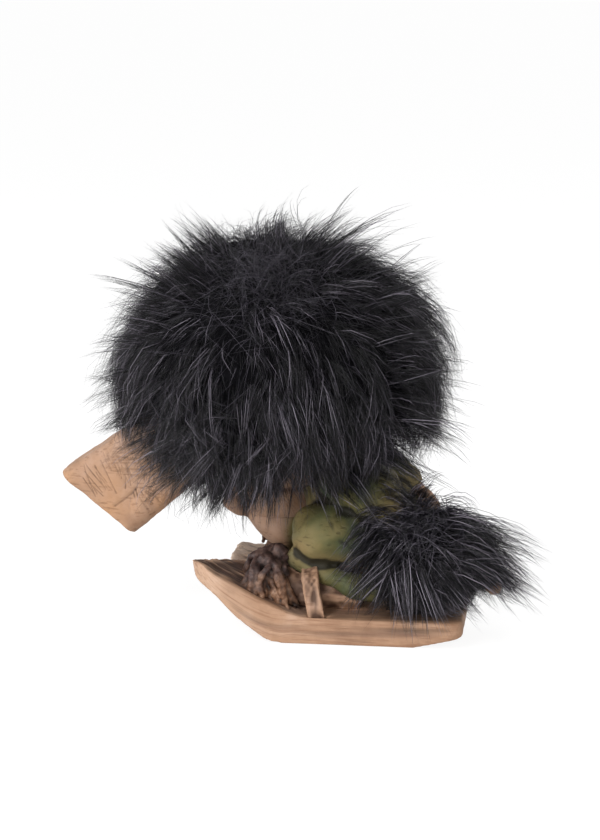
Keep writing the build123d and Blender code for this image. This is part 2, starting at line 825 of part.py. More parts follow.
tuft_rings = []
for way, size, drop in tuft_shares:
    level = Plane(
        origin=(tuft_across, tuft_along + way * tuft_half_along, tuft_up - drop * tuft_drop),
        x_dir=(1, 0, 0),
        z_dir=(0, 1, 0),
    )
    wide, deep = size * tuft_half_across, size * tuft_half_up
    tuft_rings.append(lobed_ring(level, wide, deep, tuft_lobe_count, tuft_valley_share))
with BuildPart() as tail_pile:
    loft(tuft_rings, ruled=True)
    add(clear_tail, mode=Mode.SUBTRACT)
    add(clear_seat, mode=Mode.SUBTRACT)
    add(tunic_body(seat_gap), mode=Mode.SUBTRACT)
    for neighbour in (clear_leg, clear_foot, clear_hand, clear_sleeve, clear_ski):
        add(neighbour["left"], mode=Mode.SUBTRACT)
tail_pile.part.label = "tail_pile"
export_step(tail_pile.part, "parts/tail_pile.step")
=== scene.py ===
import bpy
import numpy as np
from math import cos, pi, radians, sin
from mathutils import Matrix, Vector
from mathutils.bvhtree import BVHTree


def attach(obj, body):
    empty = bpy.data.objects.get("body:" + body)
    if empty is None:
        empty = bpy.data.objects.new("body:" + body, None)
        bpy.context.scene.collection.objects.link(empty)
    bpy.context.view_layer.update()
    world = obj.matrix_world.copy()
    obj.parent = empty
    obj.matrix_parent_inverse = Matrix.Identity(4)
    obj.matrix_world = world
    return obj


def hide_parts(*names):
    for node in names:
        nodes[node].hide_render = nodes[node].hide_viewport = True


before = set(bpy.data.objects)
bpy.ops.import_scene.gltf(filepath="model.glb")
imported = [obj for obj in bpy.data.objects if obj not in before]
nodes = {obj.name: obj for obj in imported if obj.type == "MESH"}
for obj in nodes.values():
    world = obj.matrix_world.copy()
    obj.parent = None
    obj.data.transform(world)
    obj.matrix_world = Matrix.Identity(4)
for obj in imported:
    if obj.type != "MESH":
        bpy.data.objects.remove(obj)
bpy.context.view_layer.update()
scene = bpy.context.scene
bpy.ops.object.select_all(action="DESELECT")

mm = 0.001
chance = np.random.default_rng(7)
noise_cells = 65536
noise_table = np.random.default_rng(3).uniform(-1, 1, noise_cells)
noise_keys = np.array((73856093, 19349663, 83492791))
seed_step = 11.7


# Noise and small tools

def speckle(points, size, seed=0):
    """Smooth noise from -1 to 1 at each point; size is one length or one for each axis."""
    place = points / np.asarray(size) + seed_step * seed
    cell = np.floor(place).astype(np.int64)
    part = place - cell
    part = part * part * (3 - 2 * part)
    total = np.zeros(len(points))
    for corner in np.ndindex(2, 2, 2):
        keys = (cell + corner) * noise_keys
        key = keys[:, 0] ^ keys[:, 1] ^ keys[:, 2]
        weight = np.abs(1 - np.array(corner) - part).prod(1)
        total += weight * noise_table[key % noise_cells]
    return total


def unit(vectors):
    """The same directions with a length of 1."""
    return vectors / np.maximum(np.linalg.norm(vectors, axis=-1, keepdims=True), 1e-12)


def square_to(vectors, axis):
    """Unit vectors along what is left of vectors at right angles to an axis."""
    return unit(vectors - (vectors * axis).sum(-1, keepdims=True) * axis)


def clamp(values):
    """Holds values between 0 and 1."""
    return np.clip(values, 0, 1)


def only(piece):
    """Makes a piece the one that is selected and active."""
    bpy.ops.object.select_all(action="DESELECT")
    piece.select_set(True)
    bpy.context.view_layer.objects.active = piece


def apply_all(piece):
    """Makes all modifiers of a piece part of its mesh."""
    only(piece)
    for modifier in list(piece.modifiers):
        bpy.ops.object.modifier_apply(modifier=modifier.name)


# Materials

def new_finish(name, roughness, specular):
    """A material and its node tree, with its shader set for how it shines."""
    finish = bpy.data.materials.new(name)
    finish.use_nodes = True
    shader = finish.node_tree.nodes["Principled BSDF"]
    shader.inputs["Roughness"].default_value = roughness
    shader.inputs["Specular IOR Level"].default_value = specular
    return finish, finish.node_tree


def feed(tree, kind, links=(), **settings):
    """Adds a node, sets what is named and joins what is given to its sockets."""
    node = tree.nodes.new(kind)
    for key, value in settings.items():
        setattr(node, key, value)
    for socket, value in links:
        if isinstance(value, bpy.types.NodeSocket):
            tree.links.new(value, node.inputs[socket])
        else:
            node.inputs[socket].default_value = value
    return node


def place_of(tree, stretch=(1, 1, 1), turn=(0, 0, 0)):
    """Object coordinates, stretched and turned."""
    coords = feed(tree, "ShaderNodeTexCoord").outputs["Object"]
    links = (("Vector", coords), ("Scale", stretch), ("Rotation", turn))
    return feed(tree, "ShaderNodeMapping", links).outputs[0]


def grain(tree, place, scale, detail=3.0, rough=0.55, twist=0.0):
    """Noise as fine as its scale."""
    links = (
        ("Vector", place), ("Scale", scale), ("Detail", detail), ("Roughness", rough), ("Distortion", twist),
    )
    return feed(tree, "ShaderNodeTexNoise", links).outputs["Fac"]


def ramp(tree, value, *stops):
    """A colour ramp from (place, colour) stops."""
    node = feed(tree, "ShaderNodeValToRGB", ((0, value),))
    band = node.color_ramp
    while len(band.elements) < len(stops):
        band.elements.new(0.5)
    for element, (place, colour) in zip(band.elements, stops):
        element.position = place
        element.color = (*colour, 1)
    return node.outputs["Color"]


def level(tree, value, low, high, out_low=0.0, out_high=1.0):
    """Maps a range of values on another, held at its ends."""
    links = ((0, value), (1, low), (2, high), (3, out_low), (4, out_high))
    return feed(tree, "ShaderNodeMapRange", links).outputs[0]


def sums(tree, way, first, second):
    return feed(tree, "ShaderNodeMath", ((0, first), (1, second)), operation=way).outputs[0]


def times(tree, first, second):
    return sums(tree, "MULTIPLY", first, second)


def painted(tree, base, mask, colour, amount=None):
    """Lays a colour over a base where a mask says, and only as strongly as an amount."""
    if amount is not None:
        mask = times(tree, mask, amount)
    if not isinstance(colour, bpy.types.NodeSocket):
        colour = (*colour, 1)
    return feed(tree, "ShaderNodeMix", ((0, mask), (6, base), (7, colour)), data_type="RGBA").outputs[2]


def carried(tree, name):
    """What a piece's own attribute holds."""
    return feed(tree, "ShaderNodeAttribute", attribute_name=name).outputs["Fac"]


def scratch_marks(tree, place, detail, line_end, patch_start, runs):
    """Short lines in patches; a run has a turn, a stretch and how fine its lines and patches are."""
    marks = None
    for turn, stretch, fine, broad in runs:
        lines = level(tree, grain(tree, place_of(tree, stretch, turn), fine, detail, 0.5), 0.60, line_end)
        lines = times(tree, lines, level(tree, grain(tree, place, broad, 1), patch_start, 0.56))
        marks = lines if marks is None else sums(tree, "MAXIMUM", marks, lines)
    return marks


def complete(finish, colour, height=None, strength=0.0, depth=0.0):
    """Joins a colour and, where there is one, a relief of some height to a material's shader."""
    tree = finish.node_tree
    shader = tree.nodes["Principled BSDF"]
    tree.links.new(colour, shader.inputs["Base Color"])
    if height is not None:
        links = (("Height", height), ("Strength", strength), ("Distance", depth))
        tree.links.new(feed(tree, "ShaderNodeBump", links).outputs[0], shader.inputs["Normal"])
    return finish


def cast_skin_finish():
    """Tan skin: blotchy paint, green overspray, brown antiquing and painted shade in the hollows, and fine
    scratches.
    """
    finish, tree = new_finish("cast_skin", 0.6, 0.3)
    orange, brown_speck, overspray = (0.42, 0.215, 0.095), (0.22, 0.11, 0.06), (0.125, 0.115, 0.035)
    scratch_brown, wash_and_shade_brown = (0.16, 0.075, 0.035), (0.055, 0.024, 0.013)
    place = place_of(tree)
    tan = ramp(
        tree, grain(tree, place, 75, 4, 0.62), (0.30, (0.31, 0.175, 0.105)), (0.47, (0.39, 0.235, 0.150)),
        (0.60, (0.43, 0.275, 0.195)), (0.75, (0.50, 0.34, 0.26)),
    )
    tan = painted(tree, tan, level(tree, grain(tree, place, 38, 2, 0.5), 0.52, 0.68), orange, 0.7)
    tan = painted(tree, tan, level(tree, grain(tree, place, 1400, 2, 0.6), 0.62, 0.75), brown_speck, 0.3)
    tan = painted(tree, tan, carried(tree, "tint"), overspray)
    scratches = scratch_marks(tree, place, 1.5, 0.66, 0.47, (
        ((0.5, 0, 0), (1, 0.07, 1.2), 860, 103),
        ((-0.9, 0, 0), (1, 0.08, 1.1), 920, 116),
        ((1.4, 0, 0), (1, 0.1, 1), 980, 129),
    ))
    colour = painted(tree, tan, scratches, scratch_brown, 0.35)
    # Dark brown where the attribute says: painted shade and brown antiquing in the hollows, and brown in the
    # nose's scratches.
    colour = painted(tree, colour, level(tree, carried(tree, "wash_and_shade"), 0.1, 0.9), wash_and_shade_brown, 0.92)
    relief = sums(tree, "SUBTRACT", times(tree, grain(tree, place, 900, 4, 0.6), 0.3), scratches)
    return complete(finish, colour, relief, 0.6, 0.0002)


def carved_wood_finish():
    """A tan ski: brown grain that follows its curve, painted shade on the deck and towards the back, and tips
    painted pale as painted light.
    """
    finish, tree = new_finish("carved_wood", 0.6, 0.3)
    pale_tan, tip_painted_light = (0.56, 0.39, 0.29), (0.90, 0.72, 0.58)
    line_brown, fine_brown = (0.22, 0.10, 0.05), (0.20, 0.09, 0.045)
    flow = feed(tree, "ShaderNodeAttribute", attribute_name="flow").outputs["Vector"]
    along = feed(tree, "ShaderNodeMapping", (("Vector", flow), ("Scale", (1.0, 0.06, 1.0)))).outputs[0]
    streaks = grain(tree, along, 800, 4, 0.6, 0.4)
    fine = grain(tree, along, 1700, 3, 0.5)
    tan = ramp(
        tree, grain(tree, place_of(tree), 70, 4, 0.6),
        (0.3, (0.31, 0.175, 0.105)), (0.5, (0.42, 0.25, 0.155)), (0.72, (0.53, 0.355, 0.255)),
    )
    tan = painted(tree, tan, level(tree, grain(tree, along, 260, 3, 0.5), 0.5, 0.7), pale_tan, 0.35)
    # Painted light: the tips are made pale as if lit.
    tan = painted(tree, tan, carried(tree, "tint"), tip_painted_light)
    colour = painted(tree, tan, level(tree, streaks, 0.54, 0.64), line_brown, 0.34)
    colour = painted(tree, colour, level(tree, fine, 0.55, 0.72), fine_brown, 0.4)
    dark = ramp(
        tree, streaks,
        (0.4, (0.030, 0.016, 0.012)), (0.55, (0.085, 0.052, 0.045)), (0.7, (0.15, 0.10, 0.085)),
    )
    # Painted shade on the deck and towards the back, with worn streaks on the sides.
    colour = painted(tree, colour, level(tree, carried(tree, "wash_and_shade"), 0.1, 0.9), dark, 0.93)
    return complete(finish, colour, sums(tree, "ADD", streaks, times(tree, fine, 0.4)), 0.7, 0.0005)


def green_cloth_finish():
    """Painted cloth: olive with teal places, ochre painted highlights on the knees, the elbows and low down,
    painted shade in the folds and behind the knee, and short dark strokes.
    """
    finish, tree = new_finish("green_cloth", 0.62, 0.3)
    ochre, tick_brown, fold_shade_black = (0.25, 0.18, 0.08), (0.025, 0.017, 0.008), (0.014, 0.012, 0.007)
    place = place_of(tree)
    olive = ramp(
        tree, grain(tree, place, 62, 3, 0.55), (0.30, (0.052, 0.078, 0.052)), (0.44, (0.088, 0.092, 0.036)),
        (0.58, (0.15, 0.125, 0.045)), (0.76, (0.23, 0.17, 0.075)),
    )
    # Painted highlight: ochre where the tint attribute says.
    olive = painted(tree, olive, carried(tree, "tint"), ochre)
    ticks = scratch_marks(tree, place, 2, 0.68, 0.45, (
        ((0.5, 0.2, 0.3), (1, 0.16, 1), 980, 130),
        ((-0.8, 0.1, 0.2), (1, 0.16, 1), 1060, 150),
    ))
    colour = painted(tree, olive, ticks, tick_brown, 0.45)
    # Painted shade, near black, in the folds and behind the knee.
    colour = painted(tree, colour, level(tree, carried(tree, "wash_and_shade"), 0.02, 0.75), fold_shade_black, 0.93)
    relief = sums(tree, "SUBTRACT", grain(tree, place, 700, 4, 0.6), ticks)
    return complete(finish, colour, relief, 0.55, 0.0003)


def instep_hair_finish():
    """Cast curls: dark red-brown above, tan below, and black painted shade in the grooves."""
    finish, tree = new_finish("instep_hair", 0.5, 0.35)
    groove_shade_black = (0.010, 0.005, 0.004)
    place = place_of(tree)
    noise = grain(tree, place, 230, 4, 0.65)
    above = ramp(
        tree, noise,
        (0.35, (0.020, 0.011, 0.010)), (0.5, (0.060, 0.034, 0.030)), (0.68, (0.17, 0.105, 0.085)),
    )
    below = ramp(
        tree, noise, (0.35, (0.06, 0.027, 0.015)), (0.5, (0.17, 0.085, 0.048)), (0.7, (0.40, 0.24, 0.15)),
    )
    tone = painted(tree, above, carried(tree, "tint"), below)
    # Painted shade, black, in the grooves, beside the strap and down at the deck.
    colour = painted(tree, tone, level(tree, carried(tree, "wash_and_shade"), -0.05, 0.5), groove_shade_black, 0.9)
    return complete(finish, colour, grain(tree, place, 1200, 3, 0.6), 0.5, 0.0003)


def fur_finish():
    """Black pile: each strand has its own depth of black, and the palest are painted highlights."""
    finish, tree = new_finish("black_fur", 0.28, 0.42)
    colour = ramp(
        tree, carried(tree, "shade"), (0.0, (0.0008, 0.0008, 0.0012)), (0.4, (0.007, 0.0063, 0.0088)),
        (0.7, (0.048, 0.043, 0.057)), (1.0, (0.25, 0.225, 0.27)),
    )
    return complete(finish, colour)


def undercoat_finish():
    """The dense pile below the free strands."""
    finish, tree = new_finish("undercoat", 0.9, 0.05)
    place = place_of(tree)
    tone = ramp(
        tree, grain(tree, place, 300, 4, 0.6), (0.3, (0.001, 0.001, 0.0014)), (0.8, (0.005, 0.0047, 0.006)),
    )
    return complete(finish, tone, grain(tree, place, 1500, 3, 0.6), 0.6, 0.0005)


def backing_finish():
    """Knitted backing of the pile."""
    finish, tree = new_finish("backing_cloth", 0.85, 0.2)
    links = (("Vector", place_of(tree)), ("Scale", 1100.0))
    knit = feed(tree, "ShaderNodeTexVoronoi", links).outputs["Distance"]
    tone = ramp(tree, knit, (0.1, (0.20, 0.13, 0.09)), (0.6, (0.10, 0.065, 0.045)))
    return complete(finish, tone, knit, 0.6, 0.0003)


def eye_finish():
    """Dark brown glass."""
    finish, tree = new_finish("glass_eye", 0.08, 0.6)
    tree.nodes["Principled BSDF"].inputs["Coat Weight"].default_value = 0.6
    noise = grain(tree, place_of(tree), 900, 3, 0.6)
    return complete(finish, ramp(tree, noise, (0.3, (0.012, 0.006, 0.003)), (0.7, (0.045, 0.02, 0.008))))


def peg_finish():
    """A turned wooden peg."""
    finish, tree = new_finish("peg_wood", 0.6, 0.3)
    place = place_of(tree, (1, 0.1, 0.1))
    tone = ramp(tree, grain(tree, place, 700, 3, 0.6), (0.3, (0.42, 0.27, 0.15)), (0.7, (0.58, 0.42, 0.26)))
    return complete(finish, tone, grain(tree, place, 900, 3, 0.6), 0.4, 0.0002)


skin = cast_skin_finish()
wood = carved_wood_finish()
cloth = green_cloth_finish()
curls = instep_hair_finish()
fur = fur_finish()
undercoat = undercoat_finish()
backing = backing_finish()
glass = eye_finish()
peg = peg_finish()


# Castings

def read(piece):
    """Places and normals of a piece's vertices."""
    mesh = piece.data
    count = len(mesh.vertices)
    places, normals = np.empty(count * 3, np.float32), np.empty(count * 3, np.float32)
    mesh.vertices.foreach_get("co", places)
    mesh.vertex_normals.foreach_get("vector", normals)
    return places.reshape(-1, 3).astype(float), normals.reshape(-1, 3).astype(float)


def settle(values, edges, rounds):
    """Evens out what each vertex holds with its neighbours."""
    count = len(values)
    near = np.bincount(edges.ravel(), minlength=count)[:, None]
    first, second = edges.T
    for _ in range(rounds):
        total = np.empty_like(values)
        for axis in range(values.shape[1]):
            held = values[:, axis]
            total[:, axis] = np.bincount(first, held[second], count) + np.bincount(second, held[first], count)
        values = 0.5 * values + 0.5 * total / np.maximum(near, 1)
    return values


def thick_locks(paths, sizes):
    """Round tapering rolls laid along bends, as one mesh."""
    bpy.ops.object.select_all(action="DESELECT")
    bpy.ops.curve.primitive_bezier_curve_add()
    piece = bpy.context.object
    line = piece.data
    line.bevel_depth = mm
    line.bevel_resolution = 3
    line.resolution_u = 6
    line.use_fill_caps = True
    line.splines.clear()
    for path, size in zip(paths, sizes):
        spline = line.splines.new("BEZIER")
        spline.bezier_points.add(len(path) - 1)
        for point, place, radius in zip(spline.bezier_points, path, size):
            point.co = Vector([float(number) for number in place]) * mm
            point.radius = radius
            point.handle_left_type = point.handle_right_type = "AUTO"
    bpy.ops.object.convert(target="MESH")
    return bpy.context.object


def casting(
    name, sources, finish, voxel, rounds, carve, wash_and_shade=None, tint=None, spread=30, swell=0.0, rolls=(),
    shape=None, flow=None,
):
    """A cast piece: CAD nodes merged, softened, shaped and carved, and darkened in its hollows by their depth
    as painted shade, which on the skin also stands for brown antiquing.

    Lengths are in millimetres, also in what shape, carve, wash, tint and flow read.
    """
    weld, hollow_wash_and_shade_per_mm = 1e-6, 2.2
    parts = [thick_locks(*rolls)] if rolls else []
    for source in sources:
        part = bpy.data.objects.new(name, nodes[source].data.copy())
        scene.collection.objects.link(part)
        parts.append(part)
    piece = parts[-1]
    only(piece)
    for part in parts:
        part.select_set(True)
    if len(parts) > 1:
        bpy.ops.object.join()
    only(piece)
    bpy.ops.object.mode_set(mode="EDIT")
    bpy.ops.mesh.select_all(action="SELECT")
    bpy.ops.mesh.remove_doubles(threshold=weld)
    if swell:
        bpy.ops.transform.shrink_fatten(value=swell * mm)
    bpy.ops.object.mode_set(mode="OBJECT")
    remesh = piece.modifiers.new("remesh", "REMESH")
    remesh.mode = "VOXEL"
    remesh.voxel_size = voxel * mm
    soften = piece.modifiers.new("soften", "SMOOTH")
    soften.factor = 0.5
    soften.iterations = rounds
    apply_all(piece)
    mesh = piece.data
    places, normals = read(piece)
    edges = np.empty(len(mesh.edges) * 2, np.int32)
    mesh.edges.foreach_get("vertices", edges)
    places = places - normals * swell * mm
    if shape:
        places = shape(places / mm) * mm
    places = places + normals * carve(places / mm, normals)[:, None] * mm
    even = settle(places, edges.reshape(-1, 2), spread)
    hollow = ((even - places) * normals).sum(1) / mm
    # Painted shade: each vertex is darkened by how deep it lies in a hollow.
    dark = np.clip(hollow * hollow_wash_and_shade_per_mm, -1, 1)
    if wash_and_shade:
        dark = dark + wash_and_shade(places / mm, normals)
    stain = tint(places / mm) if tint else np.zeros(len(places))
    mesh.vertices.foreach_set("co", places.astype(np.float32).ravel())
    for label, values in (("wash_and_shade", dark), ("tint", stain)):
        mesh.attributes.new(label, "FLOAT", "POINT").data.foreach_set("value", values.astype(np.float32))
    if flow:
        laid = mesh.attributes.new("flow", "FLOAT_VECTOR", "POINT")
        laid.data.foreach_set("vector", (flow(places / mm) * mm).astype(np.float32).ravel())
    mesh.update()
    mesh.materials.clear()
    mesh.materials.append(finish)
    bpy.ops.object.shade_smooth()
    piece.name = name
    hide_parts(*sources)
    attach(piece, "root")


def lumps(p, height, *layers):
    """A height with layers of noise on it; each layer has a height, a size and a seed."""
    for part, size, seed in layers:
        height = height + part * speckle(p, size, seed)
    return height


def lumpy(height, *layers):
    """A carve that is nothing but noise."""
    return lambda p, n: lumps(p, height, *layers)


head_carve = lumpy(0.1, (0.3, 8, 4), (0.14, 2.5, 5))
foot_carve = lumpy(0.15, (0.35, 4, 14), (0.15, 1.5, 15))
curl_carve = lumpy(0.1, (0.35, 2.2, 17), (0.22, 1.0, 18))
strap_carve = lumpy(0.1, (0.2, 3, 19), (0.22, (0.9, 0.9, 7), 20))

# The middle of the head, and the way that its bowed face looks
crown = np.array([0, -6.0, 80.0])
bow = radians(34)
face_way = np.array([0, -cos(bow), -sin(bow)])
face_up = np.array([0, -sin(bow), cos(bow)])


def strokes(patches):
    """Straight scratches on a side of the nose: middle, spread, direction, how many and how long."""
    lines = []
    for middle, spread, turn, count, length in patches:
        for _ in range(count):
            place = np.array(middle) + np.array(spread) * chance.uniform(-1, 1, 2)
            angle = radians(turn + 8 * chance.normal())
            half = 0.5 * length * chance.uniform(0.5, 1.15) * np.array([cos(angle), sin(angle)])
            lines.append((place - half, place + half))
    return np.array(lines)


def nearness(places, lines, width):
    """1 on a line, falling to 0 at a little more than the width from it."""
    closest = np.full(len(places), np.inf)
    for start, end in lines:
        way = end - start
        along = clamp(((places - start) @ way) / (way @ way))
        closest = np.minimum(closest, np.linalg.norm(places - start - along[:, None] * way, axis=1))
    return clamp(1.25 - closest / width)


nose_scratches = strokes((
    ((-66, 47.5), (3.6, 3.0), -50, 12, 11),
    ((-61, 56), (2.4, 4.0), 38, 13, 4.5),
    ((-61, 55), (2.6, 4.0), -62, 10, 4.5),
    ((-48, 51.5), (3.2, 2.0), 3, 8, 5.5),
    ((-47.5, 51), (2.5, 1.6), 88, 6, 3),
    ((-45.5, 44.5), (3.6, 3.4), 8, 10, 3.2),
    ((-45.5, 44), (3.6, 3.4), 74, 8, 3.2),
    ((-46, 43.5), (3.0, 3.0), -40, 7, 4),
    ((-56, 57.5), (2.4, 3.0), -68, 10, 5),
    ((-55.5, 57), (2.4, 2.6), 22, 7, 3.4),
    ((-51, 41.5), (1.8, 1.8), -62, 5, 6.5),
    ((-56.5, 50), (2.6, 3.0), -76, 8, 5),
    ((-52, 62), (4, 4), -50, 9, 4),
    ((-46, 58), (4, 4), 60, 9, 4),
))
crease_places = np.array(((-60.4, 38.9), (-56.4, 41.9), (-53.5, 44.5), (-52.4, 45.9)))
crease = np.stack((crease_places[:-1], crease_places[1:]), 1)


def nose_shape(p):
    """The underside rises towards the root."""
    local = p - crown
    over, forward = local @ face_up, local @ face_way
    towards_root, below = clamp((69 - forward) / 26), clamp(0.15 - over / 15)
    return p + (3.4 * towards_root * below)[:, None] * face_up


def on_nose_side(p, n, lines, width):
    """Nearness to lines that are drawn on the sides of the nose, seen along x."""
    return nearness(p[:, 1:], lines, width) * clamp(np.abs(n[:, 0]) * 2 - 0.9)


def nose_carve(p, n):
    marks = 0.17 * on_nose_side(p, n, nose_scratches, 0.36) + 0.22 * on_nose_side(p, n, crease, 0.5)
    fold = 0.25 * on_nose_side(p, n, crease - np.array((1.1, -0.9)), 1.4)
    return lumps(p, 0.25, (0.4, 9, 1), (0.16, 3.4, 2), (0.06, 1.2, 3)) - marks + fold


def nose_wash(p, n):
    faint = 0.30 + 0.18 * speckle(p, 4, 34)
    return faint * on_nose_side(p, n, nose_scratches, 0.30) + 0.15 * on_nose_side(p, n, crease, 0.35)


def jaw_shape(p):
    """The chin runs back and down from the lip."""
    rise = np.clip((p[:, 2] - 25) / 13, -0.2, 1.1)
    front = clamp((3 - p[:, 1]) / 12)
    moved = p.copy()
    moved[:, 1] += front * (7.0 - 10.5 * rise)
    return moved


def jaw_tint(p):
    """Green where the chin meets the clothes."""
    return 0.9 * clamp((p[:, 1] + 2.5 + 1.5 * speckle(p, 5, 21)) / 3.5)


def ski_lower(y):
    """The height of the sole along the ski: flat, then rising to the tip."""
    bend_start, bend_length, tip_height = 2, 36, 23.0
    return tip_height * np.clip((bend_start - y) / bend_length, 0, 1.2) ** 1.7


def ski_flow(p):
    """Places with the ski bent straight, so that grain follows its curve."""
    bent = p.copy()
    bent[:, 2] = p[:, 2] - ski_lower(p[:, 1]) + 0.6 * speckle(p, 14, 22)
    return bent


def ski_carve(p, n):
    """Grain along the ski, rougher on its deck in front and left smooth on its sole."""
    q = ski_flow(p)
    side = clamp(np.abs(n[:, 0]) * 1.5)
    deck = clamp(n[:, 2]) * clamp((8 - p[:, 1]) / 20)
    sole = clamp(-n[:, 2] * 3 - 1.5)
    bark = 0.55 * speckle(q, (1.5, 7, 2), 8) * deck
    rough = 0.3 * speckle(q, (6, 24, 3), 6) + 0.16 * speckle(q, (1.5, 14, 1.2), 7) * (0.4 + side) + bark
    return rough * (1 - 0.9 * sole) - 0.05


def ski_shade_and_wear(p, n):
    """Painted shade: dark on the deck, less so behind and not on the right tip, and darker towards the back
    of the sides; with worn streaks on the sides.
    """
    q = ski_flow(p)
    deck = clamp(n[:, 2] * 3.2 - 1.7)
    front = clamp((16 - p[:, 1]) / 14)
    edge = clamp((38.0 - np.abs(p[:, 0]) + 0.8 * speckle(p, 3, 23)) / 2.0)
    patchy = 0.85 + 0.45 * speckle(p, (5, 12, 5), 9)
    worn = 0.28 * clamp(speckle(q, (3, 20, 1.1), 24) - 0.1) * (1 - deck)
    # Painted shade: the sides darken towards the back.
    back = 0.30 * clamp((p[:, 1] + 8) / 30) * (1 - deck)
    deck = deck * clamp((p[:, 0] + 4) / 4 + (12 - p[:, 2]) / 4)
    behind = 0.55 * deck * (1 - front) * edge * (0.7 + 0.6 * speckle(p, 7, 10))
    return deck * front * patchy * edge + behind + worn + back


def ski_painted_light(p):
    """Painted light: the tips are painted pale as if lit, the right one more than the left."""
    left = 0.10 * clamp((-6 - p[:, 1]) / 14)
    right = clamp((-10 - p[:, 1]) / 6)
    return np.where(p[:, 0] > 0, left, right)


# Folds of the clothes as the side shows them, in y and z; the last two lie behind the knee
cloth_folds = np.array((
    ((15.5, 42), (20, 34)), ((20, 34), (27, 28)), ((9, 42), (5.5, 34)), ((5.5, 34), (4.5, 29)),
    ((13, 40), (24, 44)), ((4.5, 27.6), (20, 24.2)), ((20, 24.2), (34, 22.6)),
))


def cloth_carve(p, n):
    folds = np.sin(p @ np.array([0.25, 0.50, -0.42]) + 2.4 * speckle(p, 13, 11))
    deep = 0.3 + 0.7 * clamp(speckle(p, 14, 12) + 0.45)
    return lumps(p, 0.15 + 0.42 * folds * deep, (0.35, 6, 13), (0.12, 1.8, 25))


# Painted shade: dark along the folds seen from the side, wide behind the knee, and low at the front.
def cloth_painted_shade(p, n):
    facing = clamp(np.abs(n[:, 0]) * 2 - 0.2)
    crossing = 0.6 * nearness(p[:, 1:], cloth_folds, 0.9)
    knee_hollow = 0.9 * nearness(p[:, 1:], cloth_folds[-2:], 2.6)
    low = clamp((24 - p[:, 2]) / 5) * clamp((8 - p[:, 1]) / 8)
    return np.maximum(crossing, knee_hollow) * facing + 0.5 * low


def around(p, y, z, wide, high, reach=1.0):
    """1 about a place on the side, falling to 0 at its edge."""
    off = (p[:, 1:] - np.array([y, z])) / np.array([wide, high])
    return clamp(reach - np.linalg.norm(off, axis=1))


def cloth_painted_highlight(p):
    """Painted highlight: ochre on the knees, the elbows and a band low down, lighter where light falls on
    their round.
    """
    knee, elbow = around(p, 6, 31, 8, 6), around(p, 44, 50, 9, 12, 1.3)
    low = clamp(1 - np.abs(p[:, 2] - 26) / 6) * 0.6
    return np.clip(np.max((knee * 1.2, low, elbow), 0) + 0.3 * speckle(p, 7, 26), 0, 0.9)


def foot_painted_shade(p, n):
    """Painted shade: dark all over, but for the upper edge of the heel and the toes."""
    heel = clamp(1.5 - np.abs(p[:, 2] - 12.9 - 0.05 * (27 - p[:, 1])) / 1.1)
    heel = heel * clamp((p[:, 1] - 13.5) / 1.5)
    toes = clamp((-6.5 - p[:, 1]) / 2)
    return 0.95 * (1 - np.maximum(heel, toes)) + 0.3 * speckle(p, 2.5, 27)


def curl_painted_shade(p, n):
    """Painted shade beside the strap and where the locks meet the deck."""
    return 0.5 * clamp((p[:, 1] - 2) / 4) + 0.25 * clamp((14 - p[:, 2]) / 3)


def curl_tint(p):
    """The lower ends of the locks are tan."""
    return clamp((22.5 - p[:, 2] + 3 * speckle(p, 4, 28)) / 5)


def strap_grime_and_shade(p, n):
    """Dark all over, more so in the grain and along the front edge, and, as painted shade, near the deck."""
    # Painted shade: darker towards the deck.
    foot = clamp((12.5 - p[:, 2]) / 3) * 0.5
    lines = clamp(speckle(p, (0.8, 0.8, 9), 29))
    rim = clamp(1 - (p[:, 1] - p[:, 1].min()) / 1.2)
    return 0.5 + foot + 0.4 * lines + 0.25 * speckle(p, 3, 30) + 0.4 * rim


def curl_rolls(side):
    """Locks that tumble from the instep over the foot down to the deck."""
    count = 46
    flip = np.array([side, 1, 1])
    paths, sizes = [], []
    for number in range(count):
        place = number / (count - 1)
        spot = chance.normal(size=3) * np.array([2.6, 2.6, 1.2])
        top = np.array([22.5, -3.5, 26.5]) + spot
        end = np.array([28 + 8.6 * chance.uniform(), -14 + 20.5 * place, 15.8 - 6.2 * place**0.8])
        end = end + chance.normal(size=3) * np.array([0.5, 0.8, 0.4])
        if number % 3 == 0:
            end[0] = 15 + 10 * chance.uniform()
            end[2] = end[2] + 4.5
        middle = 0.5 * (top + end) + np.array([2.6, -0.6, 3.0]) + chance.normal(size=3) * 1.3
        last = 0.2 * middle + 0.8 * end + chance.normal(size=3) * 0.7
        paths.append([top * flip, middle * flip, last * flip, end * flip])
        thick = chance.uniform(0.75, 1.35)
        sizes.append((thick, thick * 1.1, thick * 0.85, thick * 0.35))
    return paths, sizes


# Rolls that fill out the shins of the trouser legs
shins = []
for side in (1, -1):
    shins.append([(side * x, y, z) for x, y, z in (
        (25.5, 6.5, 23.0), (26.5, 16, 20.2), (26.5, 26, 17.2), (25.5, 33, 16.5),
    )])
shin_sizes = [(1.6, 3.2, 4.6, 4.8)] * 2

